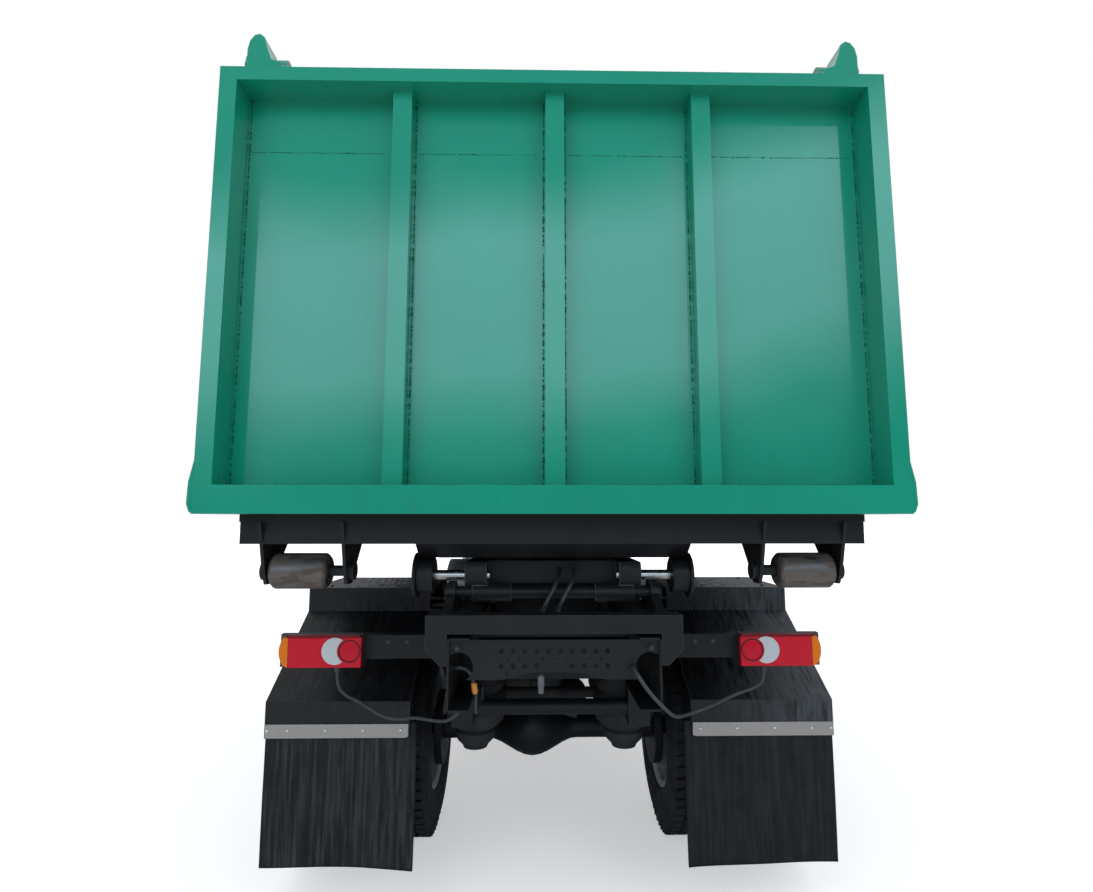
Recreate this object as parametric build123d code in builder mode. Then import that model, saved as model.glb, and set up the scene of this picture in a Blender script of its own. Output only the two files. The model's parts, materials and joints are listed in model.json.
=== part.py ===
"""Hook lift truck carrying an open container with a top-hinged tailgate.

Millimetres. The truck faces +Y, +X is its right side and +Z is up. The origin is on the ground, in the
middle of the overall length and width.
"""

import os
from math import atan2, cos, radians, sin

from build123d import *

os.makedirs("parts", exist_ok=True)

# Overall places along the truck
tail_y = -3650
nose_y = 3650
rear_axle_y = tail_y + 1425
wheelbase = 4500
front_axle_y = rear_axle_y + wheelbase
frame_end_y = tail_y + 164
frame_front_y = nose_y - 310

# Running clearances and plate thicknesses
pin_gap = 0.3
seat_gap = 0.3
plate = 12
thin_plate = 8

# Tyres and rims
tyre_r = 520
tyre_half = 155
bead_r = 291
bead_half = 125
dual_spacing = 350
rear_outer_x = 1085
rear_inner_x = rear_outer_x - dual_spacing
dual_mid_x = rear_outer_x - dual_spacing / 2
front_wheel_x = 1000
axle_z = tyre_r
spindle_r = 45
hub_r = 88
hand_holes = 10
hand_hole_r = 24
hand_hole_ring_r = 205

# Chassis rails and crossmembers
rail_outer_x = 390
rail_flange = 80
rail_in_x = rail_outer_x - rail_flange
web_in_x = rail_outer_x - thin_plate
rail_corner_r = 14
rail_bottom_z = 961
rail_top_z = 1219
end_inset = 14
end_plate_y = frame_end_y + end_inset
end_low_z = rail_top_z - 149
end_arch_z = rail_top_z - 120
end_cut_r = 52
end_cut_x = 348
hole_pitch = 43
hole_r = 9
small_hole_r = 4.5
upper_row_z = rail_top_z - 48
middle_row_z = rail_top_z - 74
lower_row_z = rail_top_z - 100
last_row_z = rail_top_z - 128
low_cross_z = rail_bottom_z + 90
full_cross_z = rail_top_z - thin_plate - 1
# Inner crossmembers: place ahead of the tailgate, and top
inner_cross_at = (
    (600, full_cross_z),
    (1660, low_cross_z),
    (2350, low_cross_z),
    (3710, low_cross_z),
    (4950, low_cross_z),
    (5400, low_cross_z),
)
tube_cross_y = tail_y + 760
tube_cross_z = 810
tube_cross_r = 34
hanger_in_x = 345
hanger_out_x = 440
hanger_half = 46

# Subframe and the rear pivot
sub_beam_in_x = 318
sub_beam_top_z = 1300
rear_beam_half = 470
rear_beam_depth = 90
rear_beam_low_z = 1234
pivot_y = tail_y + 370
pivot_z = 1360
shaft_r = 25
ear_r = 46
ear_in_x = 385
ear_t = 30

# Guide rollers under the container's rails, on pins in the tilt frame
guide_z = 1428
guide_pin_r = 20
guide_tread_r = 70
guide_flange_r = 88
guide_in_x = 470
guide_w = 64
guide_flange_w = 14

# Tilt frame, its sleeve and the jib inside it
tilt_in_x = 262
tilt_out_x = 350
tilt_low_z = sub_beam_top_z + 40
tilt_top_z = tilt_low_z + 140
tilt_front_y = 300
under_w = 120
collar_r = 36
collar_in_x = 165
collar_out_x = 320
jib_half = 108
jib_low_z = tilt_low_z + 12
jib_top_z = jib_low_z + 144
sleeve_gap = 8
sleeve_wall = 12
sleeve_back_y = -900
jib_back_y = -1300
post_back_y = 1440
post_front_y = 1640
hook_bar_y = 1330
hook_bar_z = 2930
hook_bar_r = 30
hook_plate_half = 34

# Lift cylinders, opened at the rod's eye
anchor_y = -1900
anchor_z = 1090
anchor_pin_r = 22
eye_y = -300
eye_z = 1250
eye_pin_r = 20
cylinder_x = 255
cheek_in = 32
barrel_r = 48
rod_r = 30
cylinder_eye_r = 42
cylinder_eye_half = 31
barrel_len = 1330
barrel_start = 64
barrel_neck_r = 27
jaw_turn = -41

# Container
body_half = 1250
wall_x = body_half - 77
wall_t = 8
floor_z = 1667
floor_t = 8
gate_t = 125
gate_gap = 6
body_back_y = tail_y + gate_t + gate_gap
body_front_y = 1150
front_wall_t = 60
gate_low_z = floor_z
gate_top_z = 3329
gate_beam_low_h = 100
gate_beam_top_h = 53
gate_post_w = 64
gate_sheet_t = 5
gate_rib_w = 72
gate_rib_h = 70
gate_ribs_x = (-580, 0, 560)
hinge_y = tail_y + gate_t - 13
hinge_z = gate_top_z + 71
hinge_pin_r = 20
ear_out_x = 1160
side_rib_step = 560
side_rib_half = 40

# Container underframe and ground rollers
body_rail_out_x = 530
body_rail_w = 80
body_rail_low_z = guide_z + guide_tread_r + seat_gap
body_rail_top_z = floor_z - 28
cross_h = 80
base_half = body_half - 105
roller_r = 66
roller_w = 212
roller_y = tail_y + 225
roller_z = 1457
roller_in_x = 840
roller_pin_r = 20

# Cab
cab_back_y = 1880
cab_half = 1150
cab_low_z = 1250
cab_skirt_z = 960
cab_roof_z = 2930
cab_wall = 60
cab_front_y = nose_y - 65
cab_pivot_y = nose_y - 270
cab_pivot_z = 1100
cab_pivot_r = 22
door_back_y = 2440
door_hinge_y = 3340
door_low_z = cab_low_z + 40
door_top_z = 2640
door_gap = 7
sill_z = 1860
screen_low_z = 1880
screen_high_z = 2640
screen_half = 1000
back_window = ((-700, 700), (2150, 2620))
glass_t = 6
hinge_lows = (1400, 1740)
hinge_leaf = 60
hinge_out = 16
hinge_pin_small_r = 8
hinge_knuckle_r = 14
wheel_x = -580
wheel_y = 2950
wheel_z = 1795

# Bumper, mudguards, flaps and lamps
bumper_low_z = 420
bumper_top_z = 800
bumper_half = 1150
lamp_in_front_x = 700
lamp_out_front_x = 1000
guard_in_x = 620
guard_out_x = body_half
guard_back_y = tail_y + 700
guard_riser_y = tail_y + 1180
guard_skirt_z = 850
guard_riser_z = 1170
guard_top_z = 1285
guard_t = 12
guard_rise_r = 24
arch_r = 610
arch_w = 315
flap_t = 10
flap_low_z = 170
strip_low_z = 702
strip_top_z = 760
bar_low_z = 1056
bar_top_z = 1153
bar_depth = 60
lamp_in_x = 800
lamp_out_x = 1150
lamp_low_z = 1030
lamp_top_z = 1165
lamp_y = tail_y + 545
lamp_depth = 55

# Cables and their glands
cable_r = 7
gland_x = 905
gland_r = 13
gland_len = 20


def keep(piece, name):
    """Label a finished piece and write it as its own file."""
    piece.part.label = name
    export_step(piece.part, f"parts/{name}.step")


def block(xs, ys, zs, mode=Mode.ADD):
    """A box between two places on each axis."""
    centre = (sum(xs) / 2, sum(ys) / 2, sum(zs) / 2)
    with Locations(centre):
        Box(abs(xs[1] - xs[0]), abs(ys[1] - ys[0]), abs(zs[1] - zs[0]), mode=mode)


def rod_x(xs, y, z, radius, mode=Mode.ADD):
    """A round bar along X between two places."""
    with Locations(Location((sum(xs) / 2, y, z), (0, 90, 0))):
        Cylinder(radius, abs(xs[1] - xs[0]), mode=mode)


def rod_z(x, y, zs, radius, mode=Mode.ADD):
    """A round bar along Z between two heights."""
    with Locations((x, y, sum(zs) / 2)):
        Cylinder(radius, abs(zs[1] - zs[0]), mode=mode)


def rod_between(start, end, radius, mode=Mode.ADD):
    """A round bar from one point to another."""
    line = Vector(*end) - Vector(*start)
    with BuildSketch(Plane(origin=start, z_dir=line)) as face:
        Circle(radius)
    extrude(face.sketch, amount=line.length, mode=mode)


def side_plate(xs, outline, mode=Mode.ADD):
    """A plate across X, its outline given as (y, z) corners."""
    with BuildSketch(Plane.YZ.offset(xs[0])) as face:
        with BuildLine():
            Polyline(*outline, close=True)
        make_face()
    extrude(face.sketch, amount=xs[1] - xs[0], mode=mode)


def cross_plate(ys, outline, mode=Mode.ADD):
    """A plate across Y, its outline given as (x, z) corners."""
    with BuildSketch(Plane.XZ.offset(-ys[0])) as face:
        with BuildLine():
            Polyline(*outline, close=True)
        make_face()
    extrude(face.sketch, amount=ys[0] - ys[1], mode=mode)


def turned(x, y, z, profile, mode=Mode.ADD):
    """A ring about the X direction through (x, y, z), its profile given as (x offset, radius)."""
    with BuildSketch(Plane(origin=(x, y, z), x_dir=(1, 0, 0), z_dir=(0, -1, 0))) as face:
        with BuildLine():
            Polyline(*profile, close=True)
        make_face()
    revolve(face.sketch, axis=Axis((x, y, z), (1, 0, 0)), mode=mode)


def flanged(profile, side):
    """Swap a profile's x offsets to the other side of its centre when side is -1."""
    return [(side * x, r) for x, r in profile]


def both(side, near, far):
    """Two x places on one side of the truck."""
    return (side * near, side * far)


# Chassis rails, each a channel open to the middle with rolled corners
rail_section = [
    (rail_outer_x, rail_bottom_z),
    (rail_outer_x, rail_top_z),
    (rail_in_x, rail_top_z),
    (rail_in_x, rail_top_z - thin_plate),
    (web_in_x, rail_top_z - thin_plate),
    (web_in_x, rail_bottom_z + thin_plate),
    (rail_in_x, rail_bottom_z + thin_plate),
    (rail_in_x, rail_bottom_z),
]
gland_left = (-365, tail_y + 520)
with BuildPart() as frame_rails:
    for side in (-1, 1):
        with BuildSketch(Plane.XZ.offset(-frame_end_y)) as section:
            with BuildLine():
                Polyline(*[(side * x, z) for x, z in rail_section], close=True)
            make_face()
            outer = section.vertices().filter_by(lambda v: abs(v.X) > rail_outer_x - 1)
            fillet(outer, rail_corner_r)
        extrude(section.sketch, amount=frame_end_y - frame_front_y)
        # Cab pivot bracket and its pin
        bracket = [
            (cab_pivot_y - 200, rail_top_z - 40),
            (cab_pivot_y - 60, rail_bottom_z),
            (cab_pivot_y + 30, cab_pivot_z - 60),
            (cab_pivot_y + 40, cab_pivot_z + 20),
            (cab_pivot_y + 20, cab_pivot_z + 45),
            (cab_pivot_y - 20, cab_pivot_z + 45),
        ]
        side_plate(both(side, rail_outer_x, rail_outer_x + 20), bracket)
        rod_x(both(side, rail_outer_x - 50, rail_outer_x + 50), cab_pivot_y, cab_pivot_z, cab_pivot_r)
        # Rear cab support
        support_y = (cab_back_y + 50, cab_back_y + 130)
        support_x = both(side, rail_in_x + 20, rail_outer_x - rail_corner_r)
        block(support_x, support_y, (rail_top_z - 1, cab_low_z - seat_gap))
    # Cable gland under the left rail
    rod_z(*gland_left, (rail_bottom_z - gland_len, rail_bottom_z), gland_r)

# Crossmembers: the drilled end plate, inner plates and the low tube on two hangers
gland_right = (285, rail_top_z - 106)
gland_inner = (-310, tube_cross_y)
cross_x = web_in_x - seat_gap
end_outline = [
    (-cross_x, rail_bottom_z + 110),
    (-200, end_low_z),
    (-150, end_low_z + 8),
    (-90, end_arch_z - 4),
    (0, end_arch_z),
    (90, end_arch_z - 4),
    (150, end_low_z + 8),
    (200, end_low_z),
    (cross_x, rail_bottom_z + 110),
    (cross_x, rail_top_z - thin_plate - seat_gap),
    (-cross_x, rail_top_z - thin_plate - seat_gap),
]
with BuildPart() as crossmembers:
    cross_plate((end_plate_y, end_plate_y + thin_plate), end_outline)
    with BuildSketch(Plane.XZ.offset(-end_plate_y)):
        with Locations((0, upper_row_z)):
            with GridLocations(hole_pitch, 1, 10, 1):
                Circle(hole_r)
        for row_z, places, radius in (
            (middle_row_z, (0, 1, 3, 4), small_hole_r),
            (lower_row_z, (1.5, 2.5, 3.5, 4.5), hole_r),
            (last_row_z, (4,), small_hole_r),
        ):
            for place in places:
                for side in (-1, 1):
                    with Locations((side * place * hole_pitch, row_z)):
                        Circle(radius)
        for side in (-1, 1):
            with Locations((side * end_cut_x, rail_top_z - 104)):
                Circle(end_cut_r)
    extrude(amount=-thin_plate, mode=Mode.SUBTRACT)
    # Return flange that stiffens the top of the end plate
    flange_half = rail_in_x - 30
    flange_top_z = rail_top_z - thin_plate - seat_gap
    flange_z = (flange_top_z - thin_plate, flange_top_z)
    block((-flange_half, flange_half), (end_plate_y, end_plate_y + 60), flange_z)
    # Gland of the right lamp cable
    gland_right_at = (gland_right[0], end_plate_y - gland_len / 2, gland_right[1])
    with Locations(Location(gland_right_at, (90, 0, 0))):
        Cylinder(gland_r, gland_len)
    cross_low_z = rail_bottom_z + thin_plate + seat_gap
    for place, top_z in inner_cross_at:
        cross_y = tail_y + place
        block((-cross_x, cross_x), (cross_y, cross_y + plate), (cross_low_z, top_z))
    front_cross_y = (frame_front_y - plate, frame_front_y)
    block((-cross_x, cross_x), front_cross_y, (cross_low_z, low_cross_z))
    # Low tube crossmember on boxed hangers
    rod_x((-hanger_in_x, hanger_in_x), tube_cross_y, tube_cross_z, tube_cross_r)
    rod_z(*gland_inner, (tube_cross_z, tube_cross_z + tube_cross_r + gland_len), gland_r)
    for side in (-1, 1):
        hanger_y = (tube_cross_y - hanger_half, tube_cross_y + hanger_half)
        hanger_box_z = (tube_cross_z - 74, tube_cross_z + 74)
        block(both(side, hanger_in_x, hanger_out_x), hanger_y, hanger_box_z)
        hanger_z = (hanger_box_z[1], rail_bottom_z - seat_gap)
        block(both(side, hanger_in_x, rail_outer_x), hanger_y, hanger_z)

# Subframe: two beams on the rails, the rear beam, gussets and the pivot ears
with BuildPart() as subframe:
    beam_y = (frame_end_y + rear_beam_depth, cab_back_y - 380)
    ear_foot = [
        (pivot_y - 150, sub_beam_top_z),
        (pivot_y - ear_r, pivot_z),
        (pivot_y + ear_r, pivot_z),
        (pivot_y + 210, sub_beam_top_z),
        (pivot_y + 210, rail_bottom_z + 90),
        (pivot_y - 150, rail_bottom_z + 190),
    ]
    gusset = [
        (rail_outer_x + 2, rear_beam_low_z + 1),
        (rear_beam_half, rear_beam_low_z + 1),
        (rear_beam_half, rear_beam_low_z - 56),
        (rail_outer_x + 26, rear_beam_low_z - 112),
        (rail_outer_x + 2, rear_beam_low_z - 112),
    ]
    anchor = [
        (anchor_y - 46, anchor_z - 40),
        (anchor_y + 40, anchor_z - 40),
        (anchor_y + 40, anchor_z + 40),
        (anchor_y - 46, anchor_z + 60),
    ]
    rear_beam_y = (frame_end_y, frame_end_y + rear_beam_depth)
    block((-rear_beam_half, rear_beam_half), rear_beam_y, (rear_beam_low_z, sub_beam_top_z))
    for side in (-1, 1):
        block(both(side, sub_beam_in_x, rail_outer_x), beam_y, (rail_top_z + seat_gap, sub_beam_top_z))
        foot_x = (rail_outer_x + 2, ear_in_x + ear_t)
        side_plate(both(side, *foot_x), ear_foot)
        upper = [(y, z) for y, z in ear_foot if z >= sub_beam_top_z]
        side_plate(both(side, ear_in_x, ear_in_x + ear_t), upper)
        rod_x(both(side, ear_in_x, ear_in_x + ear_t), pivot_y, pivot_z, ear_r)
        ear_bore_x = both(side, ear_in_x - 1, ear_in_x + ear_t + 1)
        rod_x(ear_bore_x, pivot_y, pivot_z, shaft_r + pin_gap, mode=Mode.SUBTRACT)
        cross_plate((frame_end_y, frame_end_y + plate), [(side * x, z) for x, z in gusset])
        # Rests under the tilt frame
        for rest_y in (sleeve_back_y - 260, tilt_front_y - 250):
            rest_z = (sub_beam_top_z, tilt_low_z - seat_gap)
            block(both(side, sub_beam_in_x, tilt_out_x), (rest_y, rest_y + 100), rest_z)
        # Cylinder anchor: two cheeks and a pin
        for cheek in (cylinder_x - cheek_in - plate, cylinder_x + cheek_in):
            side_plate(both(side, cheek, cheek + plate), anchor)
        pin_x = both(side, cylinder_x - cheek_in - plate, cylinder_x + cheek_in + plate)
        rod_x(pin_x, anchor_y, anchor_z, anchor_pin_r)
    anchor_beam_y = (anchor_y - 90, anchor_y - 46)
    anchor_half = rail_in_x - seat_gap
    block((-anchor_half, anchor_half), anchor_beam_y, (rail_bottom_z + 90, rail_top_z + 20))
    block((-sub_beam_in_x, sub_beam_in_x), anchor_beam_y, (rail_top_z + seat_gap, sub_beam_top_z))
    sub_beam_z = (rail_top_z + seat_gap, sub_beam_top_z)
    for cross_y in (700, 1440):
        block((-sub_beam_in_x, sub_beam_in_x), (cross_y, cross_y + 60), sub_beam_z)

# Shaft that the tilt frame turns on, with a collar outside each ear
with BuildPart() as pivot_shaft:
    cap_in_x = ear_in_x + ear_t + seat_gap
    rod_x((-cap_in_x, cap_in_x), pivot_y, pivot_z, shaft_r)
    for side in (-1, 1):
        rod_x(both(side, cap_in_x, cap_in_x + plate), pivot_y, pivot_z, shaft_r + 12)

# Guide rollers, each with an outer flange, and their bright pins in the tilt frame
guide_out_x = guide_in_x + guide_w + guide_flange_w
with BuildPart() as guide_rollers:
    for side in (-1, 1):
        rod_x(both(side, guide_in_x, guide_in_x + guide_w), pivot_y, guide_z, guide_tread_r)
        rod_x(both(side, guide_in_x + guide_w, guide_out_x), pivot_y, guide_z, guide_flange_r)
        roller_bore_x = both(side, guide_in_x - 1, guide_out_x + 1)
        rod_x(roller_bore_x, pivot_y, guide_z, guide_pin_r + pin_gap, mode=Mode.SUBTRACT)
with BuildPart() as guide_pins:
    for side in (-1, 1):
        rod_x(both(side, tilt_in_x - 10, guide_out_x + seat_gap), pivot_y, guide_z, guide_pin_r)
        rod_x(both(side, guide_out_x + seat_gap, guide_out_x + 9), pivot_y, guide_z, guide_pin_r + 10)

# Rear axle: tube, wide differential housing and the stub ends inside the hubs
diff_x = -85
diff_r = 152
diff_half = 250
diff_steps = 12
axle_tube_r = 62
arm_in_x = 313
arm_out_x = 397
arm_low_z = axle_z + 110
pinion_y = rear_axle_y + 170
pinion_len = 260


def diff_profile():
    """Half section of the differential: a raised cosine between the axle tubes."""
    profile = [(-diff_half, 0)]
    for step in range(diff_steps + 1):
        offset = (2 * step / diff_steps - 1) * diff_half
        swell = (1 + cos(radians(180 * offset / diff_half))) / 2
        profile.append((offset, axle_tube_r - 2 + (diff_r - axle_tube_r) * swell))
    return profile + [(diff_half, 0)]


with BuildPart() as rear_axle:
    rod_x((-560, 560), rear_axle_y, axle_z, axle_tube_r)
    turned(diff_x, rear_axle_y, axle_z, diff_profile())
    with Locations(Location((diff_x, pinion_y, axle_z + 20), (90, 0, 0))):
        Cone(78, 112, pinion_len)
    for side in (-1, 1):
        rod_x(both(side, 560, 600), rear_axle_y, axle_z, 190)
        rod_x(both(side, 560, rear_outer_x + 20), rear_axle_y, axle_z, spindle_r)
        block(both(side, arm_in_x, arm_out_x), (rear_axle_y - 90, rear_axle_y + 90), (axle_z + 40, arm_low_z))

# Air bellows between a carrier arm and the rails, ahead of and behind the axle
bellow_x = 355
bellow_reach = 460
bellow_r = 145
bowl_r = 92
bowl_low_z = axle_z + 52
arm_top_z = axle_z + 150
bellow_profile = [
    (0, bowl_low_z),
    (56, bowl_low_z),
    (64, bowl_low_z + 16),
    (bowl_r - 6, bowl_low_z + 38),
    (bowl_r, bowl_low_z + 60),
    (bowl_r, arm_top_z - 22),
    (bowl_r - 12, arm_top_z - 14),
    (bowl_r + 14, arm_top_z + 4),
    (bellow_r - 10, arm_top_z + 34),
    (bellow_r, arm_top_z + 74),
    (bellow_r, arm_top_z + 130),
    (bellow_r - 22, arm_top_z + 166),
    (bellow_r, arm_top_z + 202),
    (bellow_r - 8, arm_top_z + 248),
    (bellow_r - 45, rail_bottom_z - seat_gap),
    (0, rail_bottom_z - seat_gap),
]
# Anti-roll bar above the carrier arms, with legs up to the rails
roll_bar_r = 28
roll_bar_y = rear_axle_y - 200
roll_bar_z = arm_top_z + 78
leg_x = 345
leg_top_y = rear_axle_y + 330
with BuildPart() as rear_suspension:
    rod_x((-arm_out_x - 20, arm_out_x + 20), roll_bar_y, roll_bar_z, roll_bar_r)
    for side in (-1, 1):
        arm_y = (rear_axle_y - bellow_reach, rear_axle_y + bellow_reach)
        block(both(side, arm_in_x, arm_out_x), arm_y, (arm_low_z + seat_gap, arm_top_z))
        saddle_y = (roll_bar_y - roll_bar_r, roll_bar_y + roll_bar_r)
        block(both(side, arm_in_x + 10, arm_out_x - 10), saddle_y, (arm_top_z - 1, roll_bar_z))
        leg_top = (side * leg_x, leg_top_y, rail_bottom_z - 30)
        rod_between((side * leg_x, roll_bar_y, roll_bar_z), leg_top, roll_bar_r - 6)
        pad_y = (leg_top_y - 30, leg_top_y + 30)
        block(both(side, leg_x - 30, leg_x + 30), pad_y, (rail_bottom_z - 58, rail_bottom_z - seat_gap))
        for end in (-1, 1):
            bellow_y = rear_axle_y + end * bellow_reach
            bellow_plane = Plane((side * bellow_x, bellow_y, 0), x_dir=(1, 0, 0), z_dir=(0, -1, 0))
            with BuildSketch(bellow_plane) as half_section:
                with BuildLine():
                    Polyline(*bellow_profile, close=True)
                make_face()
            revolve(half_section.sketch, axis=Axis((side * bellow_x, bellow_y, 0), (0, 0, 1)))

# Front axle beam with its dropped middle, king-pin eyes and leaf springs
king_x = 880
king_r = 24
beam_drop = 130
half_beam = [
    (540, axle_z - beam_drop + 45),
    (king_x - 70, axle_z + 38),
    (king_x + 10, axle_z + 38),
    (king_x + 10, axle_z - 38),
    (king_x - 110, axle_z - 38),
    (560, axle_z - beam_drop - 45),
]
leaf_z = axle_z - beam_drop + 45
leaf_rise = 60
leaf_t = 20
spring_x = (rail_outer_x + 5, rail_outer_x + 85)
with BuildPart() as front_axle:
    mirrored = [(-x, z) for x, z in reversed(half_beam)]
    cross_plate((front_axle_y - 42, front_axle_y + 42), half_beam + mirrored)
    for side in (-1, 1):
        rod_z(side * king_x, front_axle_y, (axle_z - 38, axle_z + 38), 46)
        rod_z(side * king_x, front_axle_y, (axle_z - 100, axle_z + 100), king_r)
        # Leaf springs from hanger to hanger
        for step, half in enumerate((800, 620, 440)):
            low = leaf_z + 40 + 22 * (2 - step)
            rise = leaf_rise * half / 800
            under = [(-half, low + rise), (-120, low), (120, low), (half, low + rise)]
            leaf = [(front_axle_y + y, z) for y, z in under]
            leaf += [(front_axle_y + y, z + leaf_t) for y, z in reversed(under)]
            side_plate(both(side, *spring_x), leaf)
        block(both(side, *spring_x), (front_axle_y - 110, front_axle_y + 110), (leaf_z, leaf_z + 112))
        for end in (-1, 1):
            hang_y = front_axle_y + end * 790
            hanger = [
                (hang_y - 50, rail_bottom_z + 110),
                (hang_y + 50, rail_bottom_z + 110),
                (hang_y + 26, leaf_z + 120),
                (hang_y - 26, leaf_z + 120),
            ]
            side_plate(both(side, rail_outer_x + seat_gap, rail_outer_x + 30), hanger)

# Engine block, gearbox and the propeller shaft to the rear axle
with BuildPart() as engine:
    block((-300, 300), (cab_back_y + 540, cab_back_y + 1280), (640, 1160))
    with Locations(Location((0, cab_back_y + 310, 900), (90, 0, 0))):
        Cone(230, 120, 460)
    rod_between((0, cab_back_y + 120, 880), (diff_x, rear_axle_y + 336, axle_z + 20), 45)
    for side in (-1, 1):
        block(both(side, 300, web_in_x - seat_gap), (cab_back_y + 820, cab_back_y + 920), (1010, 1090))

# Fuel tank on the left, tool box and oil tank on the right, all on straps from the rails
side_tank_x = (-bumper_half + 20, -rail_outer_x - 80)
tank_low_z = 470
tank_top_z = rail_bottom_z + 89
with BuildPart() as fuel_tank:
    block(side_tank_x, (100, 1300), (tank_low_z, tank_top_z))
    fillet(fuel_tank.edges().filter_by(Axis.Y), 70)
    rod_z(side_tank_x[0] + 130, 1180, (tank_top_z - 10, tank_top_z + 26), 48)
    for strap_y in (320, 1020):
        block((side_tank_x[1], -rail_outer_x - seat_gap), (strap_y, strap_y + 60), (700, tank_top_z - 10))
with BuildPart() as side_boxes:
    block((-side_tank_x[1], -side_tank_x[0]), (700, 1320), (tank_low_z + 10, tank_top_z))
    block((-side_tank_x[1], -side_tank_x[0] - 70), (-40, 620), (tank_low_z + 50, tank_top_z))
    rod_z(-side_tank_x[1] + 120, 300, (tank_top_z - 10, tank_top_z + 40), 60)
    for strap_y in (120, 440, 800, 1160):
        block((rail_outer_x + seat_gap, -side_tank_x[1]), (strap_y, strap_y + 60), (700, tank_top_z - 10))

# Side guards: two planks each side on three posts
guard_plank_x = (bumper_half + 30, bumper_half + 55)
guard_post_x = (bumper_half - 10, bumper_half + 30)
guard_post_top_z = rail_bottom_z + 19
with BuildPart() as side_guards:
    for side in (-1, 1):
        for low in (560, 820):
            block(both(side, *guard_plank_x), (-1460, -40), (low, low + 110))
        for post_y in (-1400, -780, -160):
            block(both(side, *guard_post_x), (post_y, post_y + 50), (560, guard_post_top_z))
            arm_x = both(side, rail_outer_x + seat_gap, guard_post_x[0])
            block(arm_x, (post_y, post_y + 50), (guard_post_top_z - 60, guard_post_top_z))

# Rear mudguards: skirt, long slope, a riser with a flat top, then a front slope down to the wheel's height
guard_path = [
    (guard_back_y, 700),
    (guard_back_y, guard_skirt_z),
    (guard_riser_y, guard_riser_z),
    (guard_riser_y, guard_top_z),
    (rear_axle_y + 330, guard_top_z),
    (rear_axle_y + 720, 900),
    (rear_axle_y + 720, 760),
]
stay_z = guard_top_z - 45
with BuildPart() as rear_mudguards:
    for side in (-1, 1):
        with BuildSketch(Plane.YZ.offset(side * guard_in_x)) as band:
            with BuildLine():
                Polyline(*guard_path)
            trace(line_width=guard_t)
        extrude(band.sketch, amount=side * (guard_out_x - guard_in_x))
        # Two stays from the rail
        for stay_y in (guard_riser_y + 80, rear_axle_y + 300):
            rod_x(both(side, rail_outer_x + seat_gap, guard_out_x - 50), stay_y, stay_z - 45, 24)
            web_x = both(side, guard_in_x + 20, guard_out_x - 50)
            block(web_x, (stay_y - 12, stay_y + 12), (stay_z - 25, guard_top_z + 1))

# Front mudguards: half rings above the front tyres, each on a stay from the rail
arch_stay_z = axle_z + 462
with BuildPart() as front_mudguards:
    for side in (-1, 1):
        with BuildSketch(Plane.YZ.offset(side * (cab_half - arch_w))) as ring:
            with Locations((front_axle_y, axle_z)):
                Circle(arch_r + guard_t)
                Circle(arch_r, mode=Mode.SUBTRACT)
            with Locations((front_axle_y, axle_z - arch_r)):
                Rectangle(3 * arch_r, 2 * arch_r + 160, mode=Mode.SUBTRACT)
        extrude(ring.sketch, amount=side * arch_w)
        for end in (-1, 1):
            stay_y = front_axle_y + end * 402
            rod_x(both(side, rail_outer_x + seat_gap, cab_half - 20), stay_y, arch_stay_z, 18)

# Rubber flaps below the skirts, each clamped by a strip
flap_y = guard_back_y + guard_t / 2 + seat_gap
strip_y = guard_back_y - guard_t / 2 - seat_gap
with BuildPart() as mud_flaps:
    for side in (-1, 1):
        flap_x = both(side, guard_in_x - 27, guard_out_x - 2)
        block(flap_x, (flap_y, flap_y + flap_t), (flap_low_z, strip_top_z + 2))
with BuildPart() as flap_strips:
    for side in (-1, 1):
        block(both(side, guard_in_x + 4, guard_out_x - 4), (strip_y - 5, strip_y), (strip_low_z, strip_top_z))

# Light bar: a beam from each rail to its lamp
bar_y = (lamp_y + lamp_depth + seat_gap, lamp_y + lamp_depth + bar_depth)
with BuildPart() as light_bar:
    for side in (-1, 1):
        block(both(side, rail_outer_x + seat_gap, lamp_out_x), bar_y, (bar_low_z, bar_top_z))
        brace = [
            (side * (rail_outer_x + seat_gap), bar_low_z),
            (side * (rail_outer_x + 130), bar_low_z),
            (side * (rail_outer_x + seat_gap), bar_low_z - 80),
        ]
        cross_plate((bar_y[0] + 20, bar_y[0] + 32), brace)
with BuildPart() as tail_lamps:
    for side in (-1, 1):
        block(both(side, lamp_in_x, lamp_out_x), (lamp_y, lamp_y + lamp_depth), (lamp_low_z, lamp_top_z))
    ends = tail_lamps.edges().filter_by(Axis.Y)
    fillet(ends.filter_by(lambda e: abs(e.center().X) > lamp_out_x - 1), 48)
    ends = tail_lamps.edges().filter_by(Axis.Y)
    fillet(ends.filter_by(lambda e: abs(e.center().X) < lamp_in_x + 1), 18)
    for side in (-1, 1):
        rod_z(side * gland_x, lamp_y + lamp_depth / 2, (lamp_low_z - gland_len, lamp_low_z), gland_r)

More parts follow.
